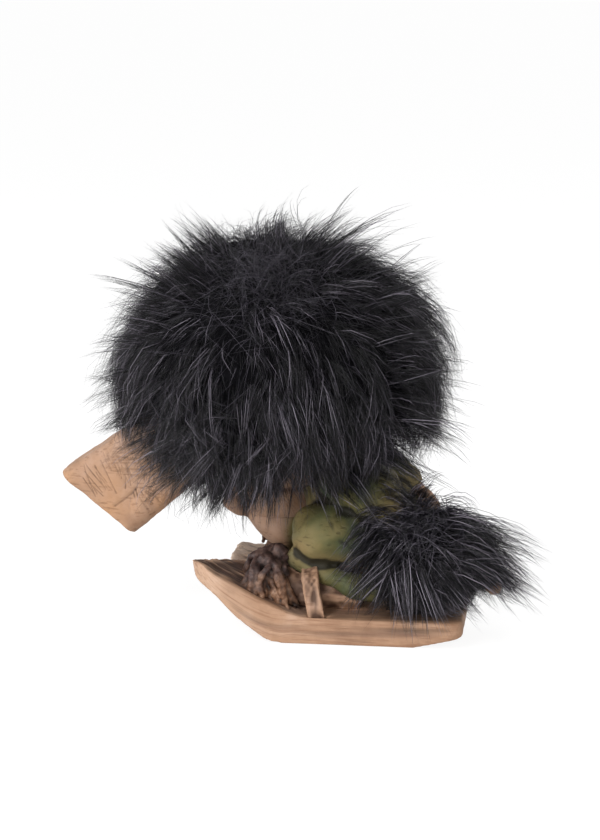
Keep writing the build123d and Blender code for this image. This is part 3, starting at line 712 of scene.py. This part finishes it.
casting("nose_casting", ["nose"], skin, 0.36, 32, nose_carve, nose_wash, shape=nose_shape)
casting("face_casting", ["head"], skin, 1.1, 2, head_carve)
casting("jaw_casting", ["lower_jaw"], skin, 0.45, 5, head_carve, tint=jaw_tint, shape=jaw_shape)
for side, turn in (("left", 1), ("right", -1)):
    ski = [f"{side}_ski"]
    casting(f"{side}_ski_casting", ski, wood, 0.55, 12, ski_carve, ski_shade_and_wear, ski_painted_light, flow=ski_flow)
    casting(f"{side}_foot_casting", [f"{side}_foot"], skin, 0.45, 3, foot_carve, foot_painted_shade)
    casting(f"{side}_strap_casting", [f"{side}_binding_strap"], skin, 0.36, 4, strap_carve, strap_grime_and_shade)
    casting(
        f"{side}_instep_curls", [f"{side}_ankle_fur"], curls, 0.34, 2, curl_carve, curl_painted_shade, curl_tint,
        spread=14, rolls=curl_rolls(turn),
    )
    casting(f"{side}_hand_casting", [f"{side}_hand"], skin, 0.45, 2, foot_carve)
clothes = ["tunic", "trouser_seat", "left_trouser_leg", "right_trouser_leg", "left_sleeve", "right_sleeve"]
casting(
    "clothes_casting", clothes, cloth, 0.62, 10, cloth_carve, cloth_painted_shade, cloth_painted_highlight,
    spread=40, swell=0.45, rolls=(shins, shin_sizes),
)
casting("tail_casting", ["tail_core"], skin, 0.6, 2, foot_carve)

for name, finish in (("left_eye", glass), ("right_eye", glass), ("neck_peg", peg), ("fur_backing", backing)):
    mesh = nodes[name].data
    mesh.materials.clear()
    mesh.materials.append(finish)


# Fur

def turn_towards(start, goal, angle):
    """Turns unit vectors start towards unit vectors goal by an angle each."""
    side = square_to(goal, start)
    return start * np.cos(angle)[..., None] + side * np.sin(angle)[..., None]


def even_directions(count):
    """Directions spread evenly over a ball."""
    step = np.arange(count) + 0.5
    up = 1 - 2 * step / count
    around = pi * (1 + 5**0.5) * step
    wide = np.sqrt(1 - up**2)
    return np.stack((wide * np.cos(around), wide * np.sin(around), up), 1)


def strand_faces(points):
    """The faces of one strand: rings of three points, closed at the root and drawn to a tip."""
    quads = []
    for ring in range(points - 2):
        for corner in range(3):
            a, b = 3 * ring + corner, 3 * ring + (corner + 1) % 3
            quads.append((a, b, b + 3, a + 3))
    last, tip = 3 * (points - 2), 3 * (points - 1)
    tris = [(last + corner, last + (corner + 1) % 3, tip) for corner in range(3)] + [(2, 1, 0)]
    return np.array(quads), np.array(tris)


def strand_mesh(name, paths, radii, shades, stand_in):
    """Closed three-sided tapering strands, shared out among pieces below the face limit."""
    piece_limit = 190000
    count, points = paths.shape[:2]
    quads, tris = strand_faces(points)
    pieces = -(-count * (2 * len(quads) + len(tris)) // piece_limit)
    share = -(-count // pieces)
    mixed = chance.permutation(count)
    paths, radii, shades = paths[mixed], radii[mixed], shades[mixed]
    for number, start in enumerate(range(0, count, share)):
        path, wide, shade = (a[start : start + share] for a in (paths, radii, shades))
        many = len(path)
        along = unit(np.gradient(path, axis=1))
        across = unit(np.cross(along, np.broadcast_to(unit(chance.normal(size=(many, 1, 3))), along.shape)))
        up = np.cross(along, across)
        rings = []
        for corner in range(3):
            angle = 2 * pi * corner / 3
            offset = across * cos(angle) + up * sin(angle)
            rings.append(path[:, :-1] + offset[:, :-1] * wide[:, :-1, None])
        rings = np.stack(rings, 2).reshape(many, -1, 3)
        verts = np.concatenate((rings, path[:, -1:]), 1)
        per = verts.shape[1]
        shift = (np.arange(many) * per)[:, None, None]
        faces = (quads + shift).reshape(-1, 4).tolist() + (tris + shift).reshape(-1, 3).tolist()
        mesh = bpy.data.meshes.new(f"{name}_{number + 1}")
        mesh.from_pydata(verts.reshape(-1, 3), [], faces)
        mesh.shade_smooth()
        depth = mesh.attributes.new("shade", "FLOAT", "POINT")
        depth.data.foreach_set("value", np.repeat(shade, per).astype(np.float32))
        mesh.materials.append(fur)
        piece = bpy.data.objects.new(mesh.name, mesh)
        scene.collection.objects.link(piece)
        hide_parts(stand_in)
        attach(piece, "root")


def nearest(values, centres):
    """For each value the index of the nearest centre, worked out in batches."""
    batch = 4000
    found = np.empty(len(values), int)
    for start in range(0, len(values), batch):
        found[start : start + batch] = np.argmax(values[start : start + batch] @ centres.T, 1)
    return found


def three_speckles(places, size, seed):
    """Three speckles of their own seeds, as the parts of a vector."""
    return np.stack([speckle(places, size, seed + number) for number in range(3)], -1)


# The places of a strand's points from root to tip, and its thickness at each
steps = np.linspace(0, 1, 5)
taper = np.array([1, 1, 0.9, 0.62, 0.0])
half_wave, full_wave = 3.1, 6.2


def tipward(power):
    """Grows from 0 at the roots to 1 at the tips of strands."""
    return (steps**power)[None, :, None]


def waves(count, size, wave=half_wave):
    """A sideways bend of its own for each of many strands."""
    return size * chance.normal(size=(count, 1, 3)) * np.sin(steps * wave)[None, :, None]


def widths(shades, low, high):
    """Half the thickness along each strand; the pale ones, which are painted highlights, are made thicker."""
    thick = chance.uniform(low, high, len(shades)) * (1 + 0.7 * shades) * 1.0
    return thick[:, None] * taper


def shades_of(count, lock_tone):
    """How pale each strand is: most are black, and a few are painted pale as highlights."""
    tone = 0.22 + 0.12 * chance.normal(size=count) + 0.7 * (lock_tone - 0.5)
    # Painted highlight: a share of strands is made pale, more of them in locks of high tone.
    painted_glint = chance.uniform(size=count) < 0.06 + 0.30 * lock_tone**2
    return clamp(np.where(painted_glint, tone + chance.uniform(0.4, 0.9, count), tone))


def drawn_together(lead, lead_roots, roots, start):
    """Strands that follow the nearest wisp and draw together towards its tip."""
    mine = nearest(roots, lead_roots)
    many = len(roots)
    place = steps[None] * chance.uniform(0.72, 1.0, many)[:, None] * (len(steps) - 1)
    before = np.minimum(place.astype(int), len(steps) - 2)
    part = (place - before)[:, :, None]
    run = lead[mine[:, None], before] * (1 - part) + lead[mine[:, None], before + 1] * part
    apart = start - lead[mine, 0]
    close = 1 + 0.3 * steps[None] - chance.uniform(0.0, 1.1, many)[:, None] * steps[None] ** 0.8
    run = run + apart[:, None] * close[:, :, None]
    run = run + waves(many, 0.5)
    run = run + 1.1 * chance.normal(size=(many, 1, 3)) * tipward(1.6)
    return run, mine


# Tables of reach have a row for each step of rise and a column for each step of turn, in degrees
table_step = 4
table_rows, table_columns = 180 // table_step + 1, 360 // table_step


def reach_table(name, middle):
    """How far the crests of a solid's locks stand from a middle, for every direction."""
    far = 200 * mm
    mesh = nodes[name].data
    solid = BVHTree.FromPolygons([v.co for v in mesh.vertices], [p.vertices[:] for p in mesh.polygons])
    table = np.zeros((table_rows, table_columns))
    for row in range(table_rows):
        rise = radians(-90 + table_step * row)
        for column in range(table_columns):
            turn = radians(table_step * column)
            way = Vector((cos(rise) * cos(turn), cos(rise) * sin(turn), sin(rise)))
            hit = solid.ray_cast(Vector(middle) * mm + way * far, -way, far)
            if hit[0] is not None:
                table[row, column] = (far - hit[3]) / mm
    for _ in range(2):
        sides = [np.roll(table, shift, axis) for shift, axis in ((-1, 1), (1, 1), (1, 0), (-1, 0))]
        table = np.max([table, *sides], 0)
    for _ in range(3):
        near = np.roll(table, 1, 1) + np.roll(table, -1, 1)
        near = near + np.vstack((table[1:], table[-1:])) + np.vstack((table[:1], table[:-1]))
        table = 0.4 * table + 0.15 * near
    return table


def look_up(table, ways):
    """What a table of reach says for directions, between its cells too."""
    rise = np.degrees(np.arcsin(np.clip(ways[..., 2], -1, 1))) + 90
    turn = np.degrees(np.arctan2(ways[..., 1], ways[..., 0])) % 360
    row = np.clip(rise / table_step, 0, table_rows - 1.001)
    column = turn / table_step % table_columns
    i, j = row.astype(int), column.astype(int)
    u, v = row - i, column - j
    after = (j + 1) % table_columns
    low = table[i, j] * (1 - v) + table[i, after] * v
    high = table[i + 1, j] * (1 - v) + table[i + 1, after] * v
    return low * (1 - u) + high * u


def locks_of(guides, spread, count):
    """Single locks that stand away: strands gathered along a bend from a root through a middle to a tip."""
    tufts = 24
    runs = []
    for guide in guides:
        root, middle, tip = (np.array(place, float) for place in guide)
        lead = [(1 - s) ** 2 * root + 2 * s * (1 - s) * middle + s**2 * tip for s in steps]
        lead = np.array(lead)[None]
        tuft = chance.integers(0, tufts, count)
        apart = chance.normal(size=(tufts, 1, 3)) * spread * (1 - 0.35 * steps)[None, :, None]
        fan = 0.09 * chance.normal(size=(tufts, 1, 3)) * np.linalg.norm(tip - root) * tipward(1.5)
        reach = chance.uniform(0.55, 1.0, tufts)[tuft] * chance.uniform(0.7, 1.05, count)
        close = (1 - chance.uniform(0.0, 0.9, count)[:, None] * steps**0.9)[:, :, None]
        run = lead[:, :1] + (lead - lead[:, :1]) * reach[:, None, None] + (apart + fan)[tuft]
        bend = waves(count, 0.35)
        runs.append(run + 0.9 * chance.normal(size=(count, 1, 3)) * close + bend)
    return np.concatenate(runs)


# The mop on the head
cap_radius = 37.0
whorl = unit(np.array([0.60, 0.04, 0.80]))
mop_table = reach_table("hair_pile", crown)
mop_wide = np.array([55.5, 59.0, 55.0])


def mop_reach(ways):
    """How far the fur stands from the middle of the head in each direction."""
    ball = 1 / np.sqrt(((ways / mop_wide) ** 2).sum(-1))
    return np.maximum(look_up(mop_table, ways), 0.90 * ball)


def hem_of(ways):
    """How low the roots go, as the height of their direction."""
    return -0.50 + 0.34 * clamp(ways[:, 1])


def on_cap(ways):
    """Which directions the fur grows in: not on the face, and not below the hem."""
    face = (ways @ face_way) < cos(radians(39))
    return face & (ways[:, 2] > hem_of(ways))


def grown_roots(count, keep=None):
    """Directions of roots, spread nearly evenly over what is kept of a ball."""
    ways = even_directions(count)
    ways = unit(ways + chance.normal(scale=0.02, size=ways.shape))
    return ways[keep(ways)] if keep else ways


def clear_of_nose(paths):
    """Moves what would run through the nose to its side or over its bridge."""
    half_wide, half_high, bridge, root, tip, stray_by = 14.5, 17.5, 4, 27, 76, 1.5
    from_crown = paths - crown
    over, forward, across = from_crown @ face_up, from_crown @ face_way, paths[..., 0]
    inside = (np.abs(across) < half_wide) & (np.abs(over) < half_high) & (forward > root) & (forward < tip)
    above = inside & (over > bridge)
    beside = inside & ~above
    lifted = paths + (half_high + stray_by * chance.uniform(size=over.shape) - over)[..., None] * face_up
    paths = np.where(above[..., None], lifted, paths)
    out = np.where(across < 0, -1, 1) * (half_wide + 0.1 + stray_by * chance.uniform(size=over.shape))
    paths[..., 0] = np.where(beside, out, paths[..., 0])
    return paths


def grown_paths(roots, goal, swing, lift, rise, start, middle, reach_of, curve, droop):
    """The run of each strand from its root: outwards, and over towards its goal."""
    goal = square_to(goal, roots)
    paths = np.empty((len(roots), len(steps), 3))
    for index, step in enumerate(steps):
        way = turn_towards(roots, goal, swing * step**curve)
        out = start + (reach_of(way) * lift - start) * (1 - (1 - step) ** rise)
        paths[:, index] = middle + way * out[:, None]
    paths[:, :, 2] -= droop * steps**2
    return paths


def mop_paths(roots, swing, lift, sway, rise):
    """Strands on the head, which lie away from its whorl and downwards."""
    drift = three_speckles(roots * 57, 26, 40)
    goal = square_to(roots, whorl) + np.array([0, 0, -0.5]) + 0.5 * drift + sway
    return grown_paths(roots, goal, swing, lift, rise, cap_radius, crown, mop_reach, 1.2, 3.0)


def gathered(roots, locks, blur):
    """For each root the lock that it belongs to."""
    return nearest(unit(roots + blur * chance.normal(size=roots.shape)), locks)


def mop_strands(count, wisp_count, lock_count, mane_count):
    """Broad manes set how a patch of fur lies, locks share it out, and strands gather in their wisps."""
    manes = grown_roots(mane_count, on_cap)
    many = len(manes)
    mane_sway = 0.55 * chance.normal(size=manes.shape)
    mane_lift = chance.uniform(0.93, 1.05, many)
    mane_rise = chance.uniform(1.3, 2.8, many)
    mane_turn = chance.uniform(0.7, 1.15, many)
    mane_tone = chance.uniform(size=many)
    locks = grown_roots(lock_count, on_cap)
    many = len(locks)
    mane = gathered(locks, manes, 0.05)
    depth = locks[:, 2] - hem_of(locks)
    room = np.clip(0.42 + depth / 0.9, 0.42, 1)
    from_whorl = np.arccos(np.clip(locks @ whorl, -1, 1))
    swing = radians(42) * room * mane_turn[mane] * chance.uniform(0.7, 1.2, many)
    swing = swing * np.clip(from_whorl / 0.5, 0.45, 1)
    lift = mane_lift[mane] * chance.uniform(0.94, 1.03, many)
    rise = mane_rise[mane] * chance.uniform(0.9, 1.1, many)
    sway = mane_sway[mane] + 0.30 * chance.normal(size=locks.shape)
    # Painted highlight: manes and locks of high tone get more pale strands, in patches.
    tone = 0.6 * mane_tone[mane] + 0.4 * chance.uniform(size=many)
    lead = mop_paths(locks, swing, lift, sway, rise)
    wisp_roots = grown_roots(wisp_count, on_cap)
    many = len(wisp_roots)
    mine = gathered(wisp_roots, locks, 0.02)
    run = mop_paths(
        wisp_roots,
        swing[mine] * chance.uniform(0.7, 1.2, many),
        lift[mine] * chance.uniform(0.90, 1.03, many),
        sway[mine] + 0.32 * chance.normal(size=wisp_roots.shape),
        rise[mine] * chance.uniform(0.85, 1.15, many),
    )
    pull = chance.uniform(0.15, 0.9, many)[:, None, None] * tipward(1.3)
    bend = waves(many, 1.0)
    run = run * (1 - pull) + lead[mine] * pull + (bend + waves(many, 0.45, full_wave))
    tone = 0.5 * tone[mine] + 0.5 * chance.uniform(size=many)
    roots = grown_roots(count, on_cap)
    run, mine = drawn_together(run, wisp_roots, roots, crown + roots * cap_radius)
    return clear_of_nose(run), shades_of(len(roots), tone[mine])


def tangle_at(way, spread, count, middle, reach_of):
    """Fine stray hairs that lie in a tangle."""
    near = unit(way + chance.normal(scale=spread, size=(count, 3)))
    start = middle + near * (reach_of(near) * chance.uniform(0.88, 0.97, count))[:, None]
    way = unit(chance.normal(size=(count, 3)) + 0.35 * near)
    bend = unit(chance.normal(size=(count, 3)))
    length = chance.uniform(6, 17, count)
    run = start[:, None] + length[:, None, None] * (
        way[:, None] * tipward(1) + 0.55 * bend[:, None] * tipward(2)
    )
    over = np.linalg.norm(run - middle, axis=-1)
    most = reach_of(unit(run - middle)) * 1.05
    return middle + (run - middle) * np.minimum(1, most / over)[..., None]


def wisps(count):
    """Fine strands that stand out from the mop."""
    roots = grown_roots(count, on_cap)
    many = len(roots)
    run = mop_paths(
        roots, radians(34) * chance.uniform(0.2, 1.1, many), chance.uniform(1.0, 1.13, many),
        0.7 * chance.normal(size=roots.shape), chance.uniform(1.0, 1.5, many),
    )
    return clear_of_nose(run + waves(many, 1.5))


# Locks that break the outline of the mop: root, middle and tip of each
mop_locks = (
    ((16, -20, 115), (20, -33, 131), (22, -41, 140)), ((18, -22, 113), (22, -37, 126), (26, -46, 132)),
    ((20, -24, 108), (26, -40, 121), (29, -51, 125)), ((21, -26, 104), (28, -45, 114), (30, -56, 114)),
    ((22, -30, 98), (29, -50, 106), (32, -61, 102)), ((4, -18, 116), (4, -30, 131), (2, -37, 138)),
    ((22, -20, 110), (27, -31, 125), (32, -38, 131)), ((26, -26, 96), (36, -44, 104), (40, -54, 104)),
    ((22, -36, 86), (30, -56, 90), (33, -66, 84)), ((22, -36, 78), (31, -56, 78), (32, -65, 70)),
    ((14, 24, 108), (19, 40, 120), (20, 49, 121)), ((24, 30, 86), (31, 52, 91), (34, 61, 87)),
    ((24, 30, 76), (30, 54, 76), (34, 64, 68)), ((22, 26, 64), (34, 46, 60), (34, 54, 50)),
    ((24, 18, 60), (40, 30, 56), (40, 34, 45)), ((24, 8, 58), (42, 16, 54), (40, 18, 43)),
    ((26, -4, 58), (42, -2, 52), (38, -4, 40)), ((26, -14, 60), (42, -20, 52), (36, -24, 39)),
    ((12, 2, 118), (17, 14, 137), (20, 25, 141)), ((16, 8, 116), (22, 26, 134), (24, 36, 135)),
    ((14, -6, 120), (16, -12, 138), (15, -4, 143)), ((20, 20, 108), (28, 37, 121), (30, 45, 120)),
    ((24, 26, 96), (31, 48, 106), (34, 58, 102)), ((24, -30, 72), (35, -52, 66), (30, -60, 56)),
    ((22, -26, 60), (33, -44, 52), (26, -47, 42)), ((22, -22, 58), (31, -36, 49), (27, -35, 38)),
    ((23, -16, 56), (33, -25, 50), (30, -24, 38)), ((24, -8, 56), (34, -12, 50), (31, -12, 37)),
)
whole = 1.0
mop_run, mop_shade = mop_strands(int(50000 * whole), 8500, 1300, 260)
tangle = tangle_at(whorl, 0.2, int(1500 * whole), crown, mop_reach)
stray = wisps(int(5200 * whole))
far_locks = np.array(mop_locks) * np.array([-1, 1, 1])
near_run = locks_of(mop_locks, 3.8, int(210 * whole))
apart = np.concatenate((near_run, locks_of(far_locks, 4.2, int(60 * whole))))
extra = len(tangle) + len(stray)
mop_run = np.concatenate((mop_run, apart, tangle, stray))
mop_shade = np.concatenate((mop_shade, shades_of(len(apart), 0.4), chance.uniform(0.2, 0.8, extra)))
mop_width = np.concatenate((widths(mop_shade[:-extra], 0.045, 0.085), widths(mop_shade[-extra:], 0.03, 0.05)))
strand_mesh("mop_fur", mop_run * mm, mop_width * mm, mop_shade, "hair_pile")


# The tail: a bushy end whose fur flows from its own whorl backwards and down
tail_middle = np.array([26, 49, 26.0])
tail_whorl = unit(np.array([0.46, -0.25, 0.85]))
tail_table = reach_table("tail_pile", tail_middle)
tail_wide = np.array([15.5, 19.0, 22.5])
tail_start = 7.0
ski_side, deck_up, floor_gap = 39.2, 9.6, 1.2


def tail_reach(ways):
    """How far the fur stands from the middle of the tail in each direction."""
    ball = 1 / np.sqrt(((ways / tail_wide) ** 2).sum(-1))
    thin = 1 - 0.2 * clamp(ways[..., 1]) * clamp(0.25 - ways[..., 2])
    return np.maximum(0.96 * look_up(tail_table, ways) * thin, ball)


def tail_paths(roots, swing, lift, sway, rise):
    """Strands on the tail, which lie away from its whorl, and those at the back backwards."""
    back = clamp(roots[:, 1:2] + 0.35) * np.array([0, 0.9, 0])
    goal = 1.2 * square_to(roots, tail_whorl) + back + np.array([0.1, 0, -0.4])
    goal = goal + 0.35 * three_speckles(roots * 22, 12, 50) + sway
    return grown_paths(roots, goal, swing, lift, rise, tail_start, tail_middle, tail_reach, 1.1, 2.5)


def over_ski(run):
    """Keeps the tail's fur above the deck, and above the floor beside the ski."""
    edge = ski_side + 0.8 * chance.uniform(size=(len(run), 1))
    lowest = np.where(run[:, :, 0] < edge, deck_up, floor_gap) + 0.8 * chance.uniform(size=run.shape[:2])
    run[:, :, 2] = np.maximum(run[:, :, 2], lowest)
    return run


def tail_strands(count, wisp_count, lock_count):
    """Locks share out the tail's fur, and strands gather in their wisps."""
    locks = grown_roots(lock_count)
    many = len(locks)
    swing = radians(80) * chance.uniform(0.55, 1.15, many)
    lift = chance.uniform(0.90, 1.08, many)
    rise = chance.uniform(1.2, 2.4, many)
    sway = 0.42 * chance.normal(size=locks.shape)
    tone = chance.uniform(size=many)
    lead = tail_paths(locks, swing, lift, sway, rise)
    wisp_roots = grown_roots(wisp_count)
    many = len(wisp_roots)
    mine = gathered(wisp_roots, locks, 0.04)
    run = tail_paths(
        wisp_roots,
        swing[mine] * chance.uniform(0.7, 1.15, many),
        lift[mine] * chance.uniform(0.88, 1.05, many),
        sway[mine] + 0.25 * chance.normal(size=wisp_roots.shape),
        rise[mine] * chance.uniform(0.8, 1.2, many),
    )
    pull = chance.uniform(0.2, 0.85, many)[:, None, None] * tipward(1.2)
    run = run * (1 - pull) + lead[mine] * pull + waves(many, 0.8)
    tone = 0.4 * tone[mine] + 0.6 * chance.uniform(size=many)
    roots = grown_roots(count)
    run, mine = drawn_together(run, wisp_roots, roots, tail_middle + tail_start * roots)
    return over_ski(run), shades_of(len(roots), tone[mine])


# Locks that break the outline of the tail: root, middle and tip of each
tail_locks = (
    ((28, 54, 36), (32, 74, 41), (34, 90, 28)), ((29, 52, 38), (34, 68, 42), (36, 84, 30)),
    ((29, 56, 31), (34, 74, 34), (36, 87, 23)), ((28, 56, 26), (35, 72, 28), (37, 84, 13)),
    ((30, 50, 26), (40, 60, 20), (42, 68, 10)), ((30, 46, 30), (44, 54, 20), (43, 60, 3)),
    ((30, 44, 30), (45, 48, 20), (43, 51, 2)), ((30, 40, 30), (44, 42, 20), (42, 42, 4)),
    ((30, 38, 28), (43, 32, 20), (41, 26, 8)), ((30, 40, 32), (42, 30, 24), (41, 22, 11)),
    ((28, 36, 34), (40, 28, 30), (40, 20, 16)), ((26, 36, 38), (38, 26, 38), (38, 20, 25)),
    ((24, 38, 40), (38, 30, 46), (40, 27, 38)), ((24, 40, 40), (38, 35, 50), (40, 29, 46)),
    ((24, 42, 42), (36, 42, 54), (40, 35, 53)), ((26, 42, 38), (40, 36, 44), (41, 31, 42)),
    ((24, 46, 42), (30, 52, 54), (34, 54, 53)), ((26, 52, 40), (32, 61, 48), (34, 67, 44)),
    ((26, 56, 38), (32, 68, 43), (34, 78, 35)), ((18, 60, 31), (13, 66, 27), (15, 74, 17)),
    ((20, 62, 29), (15, 70, 23), (18, 79, 12)), ((22, 66, 26), (21, 76, 21), (22, 86, 11)),
    ((16, 56, 33), (10, 60, 28), (12, 68, 17)), ((24, 64, 28), (26, 77, 24), (28, 88, 14)),
)
tail_run, tail_shade = tail_strands(int(8300 * whole), 1300, 330)
apart = over_ski(locks_of(tail_locks, 3.4, int(190 * whole)))
tangle = tangle_at(tail_whorl, 0.35, int(700 * whole), tail_middle, tail_reach)
tail_run = np.concatenate((tail_run, apart, tangle))
tail_shade = np.concatenate((tail_shade, shades_of(len(apart), 0.6), chance.uniform(0.1, 0.8, len(tangle))))
strand_mesh("tail_fur", tail_run * mm, widths(tail_shade, 0.045, 0.085) * mm, tail_shade, "tail_pile")


def undercoat_lump(name, places_of, stand_in):
    """The dense heart of the pile, a lumpy black volume below the strands."""
    bpy.ops.object.select_all(action="DESELECT")
    bpy.ops.mesh.primitive_uv_sphere_add(segments=120, ring_count=80, radius=1)
    piece = bpy.context.object
    places = places_of(unit(read(piece)[0]))
    piece.data.vertices.foreach_set("co", (places * mm).astype(np.float32).ravel())
    piece.data.update()
    piece.name = name
    piece.data.name = name
    piece.data.materials.append(undercoat)
    only(piece)
    bpy.ops.object.shade_smooth()
    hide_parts(stand_in)
    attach(piece, "root")


def mop_heart(ways):
    """The heart of the mop, drawn in below the hem and over the face."""
    heart_radius = 34.0
    reach = lumps(ways * 57, mop_reach(ways) * 0.87, (1.6, 6, 31), (0.8, 2.5, 33))
    low = clamp((hem_of(ways) + 0.12 - ways[:, 2]) / 0.25)
    face = clamp(((ways @ face_way) - cos(radians(50))) / 0.12)
    shrink = np.maximum(low, face)
    return crown + ways * (reach * (1 - shrink) + heart_radius * shrink)[:, None]


def tail_heart(ways):
    """The heart of the tail's fur, which rests on the deck."""
    share = 0.70 + 0.12 * clamp(ways[:, 2])
    places = tail_middle + ways * (tail_reach(ways) * share + 1.2 * speckle(ways * 20, 5, 32))[:, None]
    places[:, 2] = np.maximum(places[:, 2], deck_up + 0.2)
    return places


undercoat_lump("mop_undercoat", mop_heart, "hair_pile")
undercoat_lump("tail_undercoat", tail_heart, "tail_pile")


# Stage, light and camera

def floor_finish():
    """Pale matt floor that keeps shadows, and that the camera sees as nearly white."""
    finish = bpy.data.materials.new("floor")
    finish.use_nodes = True
    tree = finish.node_tree
    tree.nodes.clear()
    seen = feed(tree, "ShaderNodeLightPath").outputs["Is Camera Ray"]
    diffuse = feed(tree, "ShaderNodeBsdfDiffuse", (("Color", (0.92, 0.92, 0.92, 1)),)).outputs[0]
    glow = feed(tree, "ShaderNodeEmission", (("Color", (1, 1, 1, 1)), ("Strength", 1.10))).outputs[0]
    part = feed(tree, "ShaderNodeMixShader", ((0, 0.82), (1, diffuse), (2, glow))).outputs[0]
    both = feed(tree, "ShaderNodeMixShader", ((0, seen), (1, diffuse), (2, part))).outputs[0]
    feed(tree, "ShaderNodeOutputMaterial", (("Surface", both),))
    return finish


bpy.ops.object.select_all(action="DESELECT")
floor_size = 60
bpy.ops.mesh.primitive_plane_add(size=floor_size, location=(0, 0, 0))
floor = bpy.context.object
floor.name = "floor"
floor.data.materials.append(floor_finish())

world = bpy.data.worlds.new("studio")
scene.world = world
world.use_nodes = True
tree = world.node_tree
tree.nodes.clear()
rays = feed(tree, "ShaderNodeLightPath")
strength = level(tree, rays.outputs["Is Camera Ray"], 0, 1, 0.50, 1.0)
sky = feed(tree, "ShaderNodeBackground", (("Color", (1, 1, 1, 1)), ("Strength", strength))).outputs[0]
feed(tree, "ShaderNodeOutputWorld", (("Surface", sky),))


def softbox(name, place, size, power, goal=(0, 0, 0.07)):
    """A round soft light that faces a goal."""
    lamp = bpy.data.lights.new(name, "AREA")
    lamp.shape = "DISK"
    lamp.size = size
    lamp.energy = power
    rig = bpy.data.objects.new(name, lamp)
    scene.collection.objects.link(rig)
    rig.location = place
    rig.rotation_euler = (Vector(goal) - Vector(place)).to_track_quat("-Z", "Y").to_euler()


softbox("key", (0.9, -0.6, 1.0), 0.4, 7.6)
softbox("fill", (1.0, 0.9, 0.7), 0.9, 3.0)
softbox("top", (0.0, 0.0, 1.4), 0.9, 4.0)
softbox("low", (1.0, -0.35, 0.08), 0.7, 7.0, (0, 0, 0.04))
softbox("front", (0.15, -1.1, 0.22), 0.6, 3.4, (0, 0, 0.02))

view_turn, view_rise, view_distance = radians(7.7), radians(11.3), 0.75
towards = Vector((cos(view_turn) * cos(view_rise), sin(view_turn) * cos(view_rise), sin(view_rise)))
aim = Vector((-2.4 * sin(view_turn), 2.4 * cos(view_turn), 68.3)) * mm
lens = bpy.data.cameras.new("camera")
lens.sensor_fit = "VERTICAL"
lens.sensor_height = 36
lens.lens = 93.2
lens.clip_start = 0.01
camera = bpy.data.objects.new("camera", lens)
scene.collection.objects.link(camera)
camera.location = aim + towards * view_distance
camera.rotation_euler = (-towards).to_track_quat("-Z", "Y").to_euler()
scene.camera = camera
scene.view_settings.view_transform = "Standard"

bpy.ops.object.select_all(action="DESELECT")
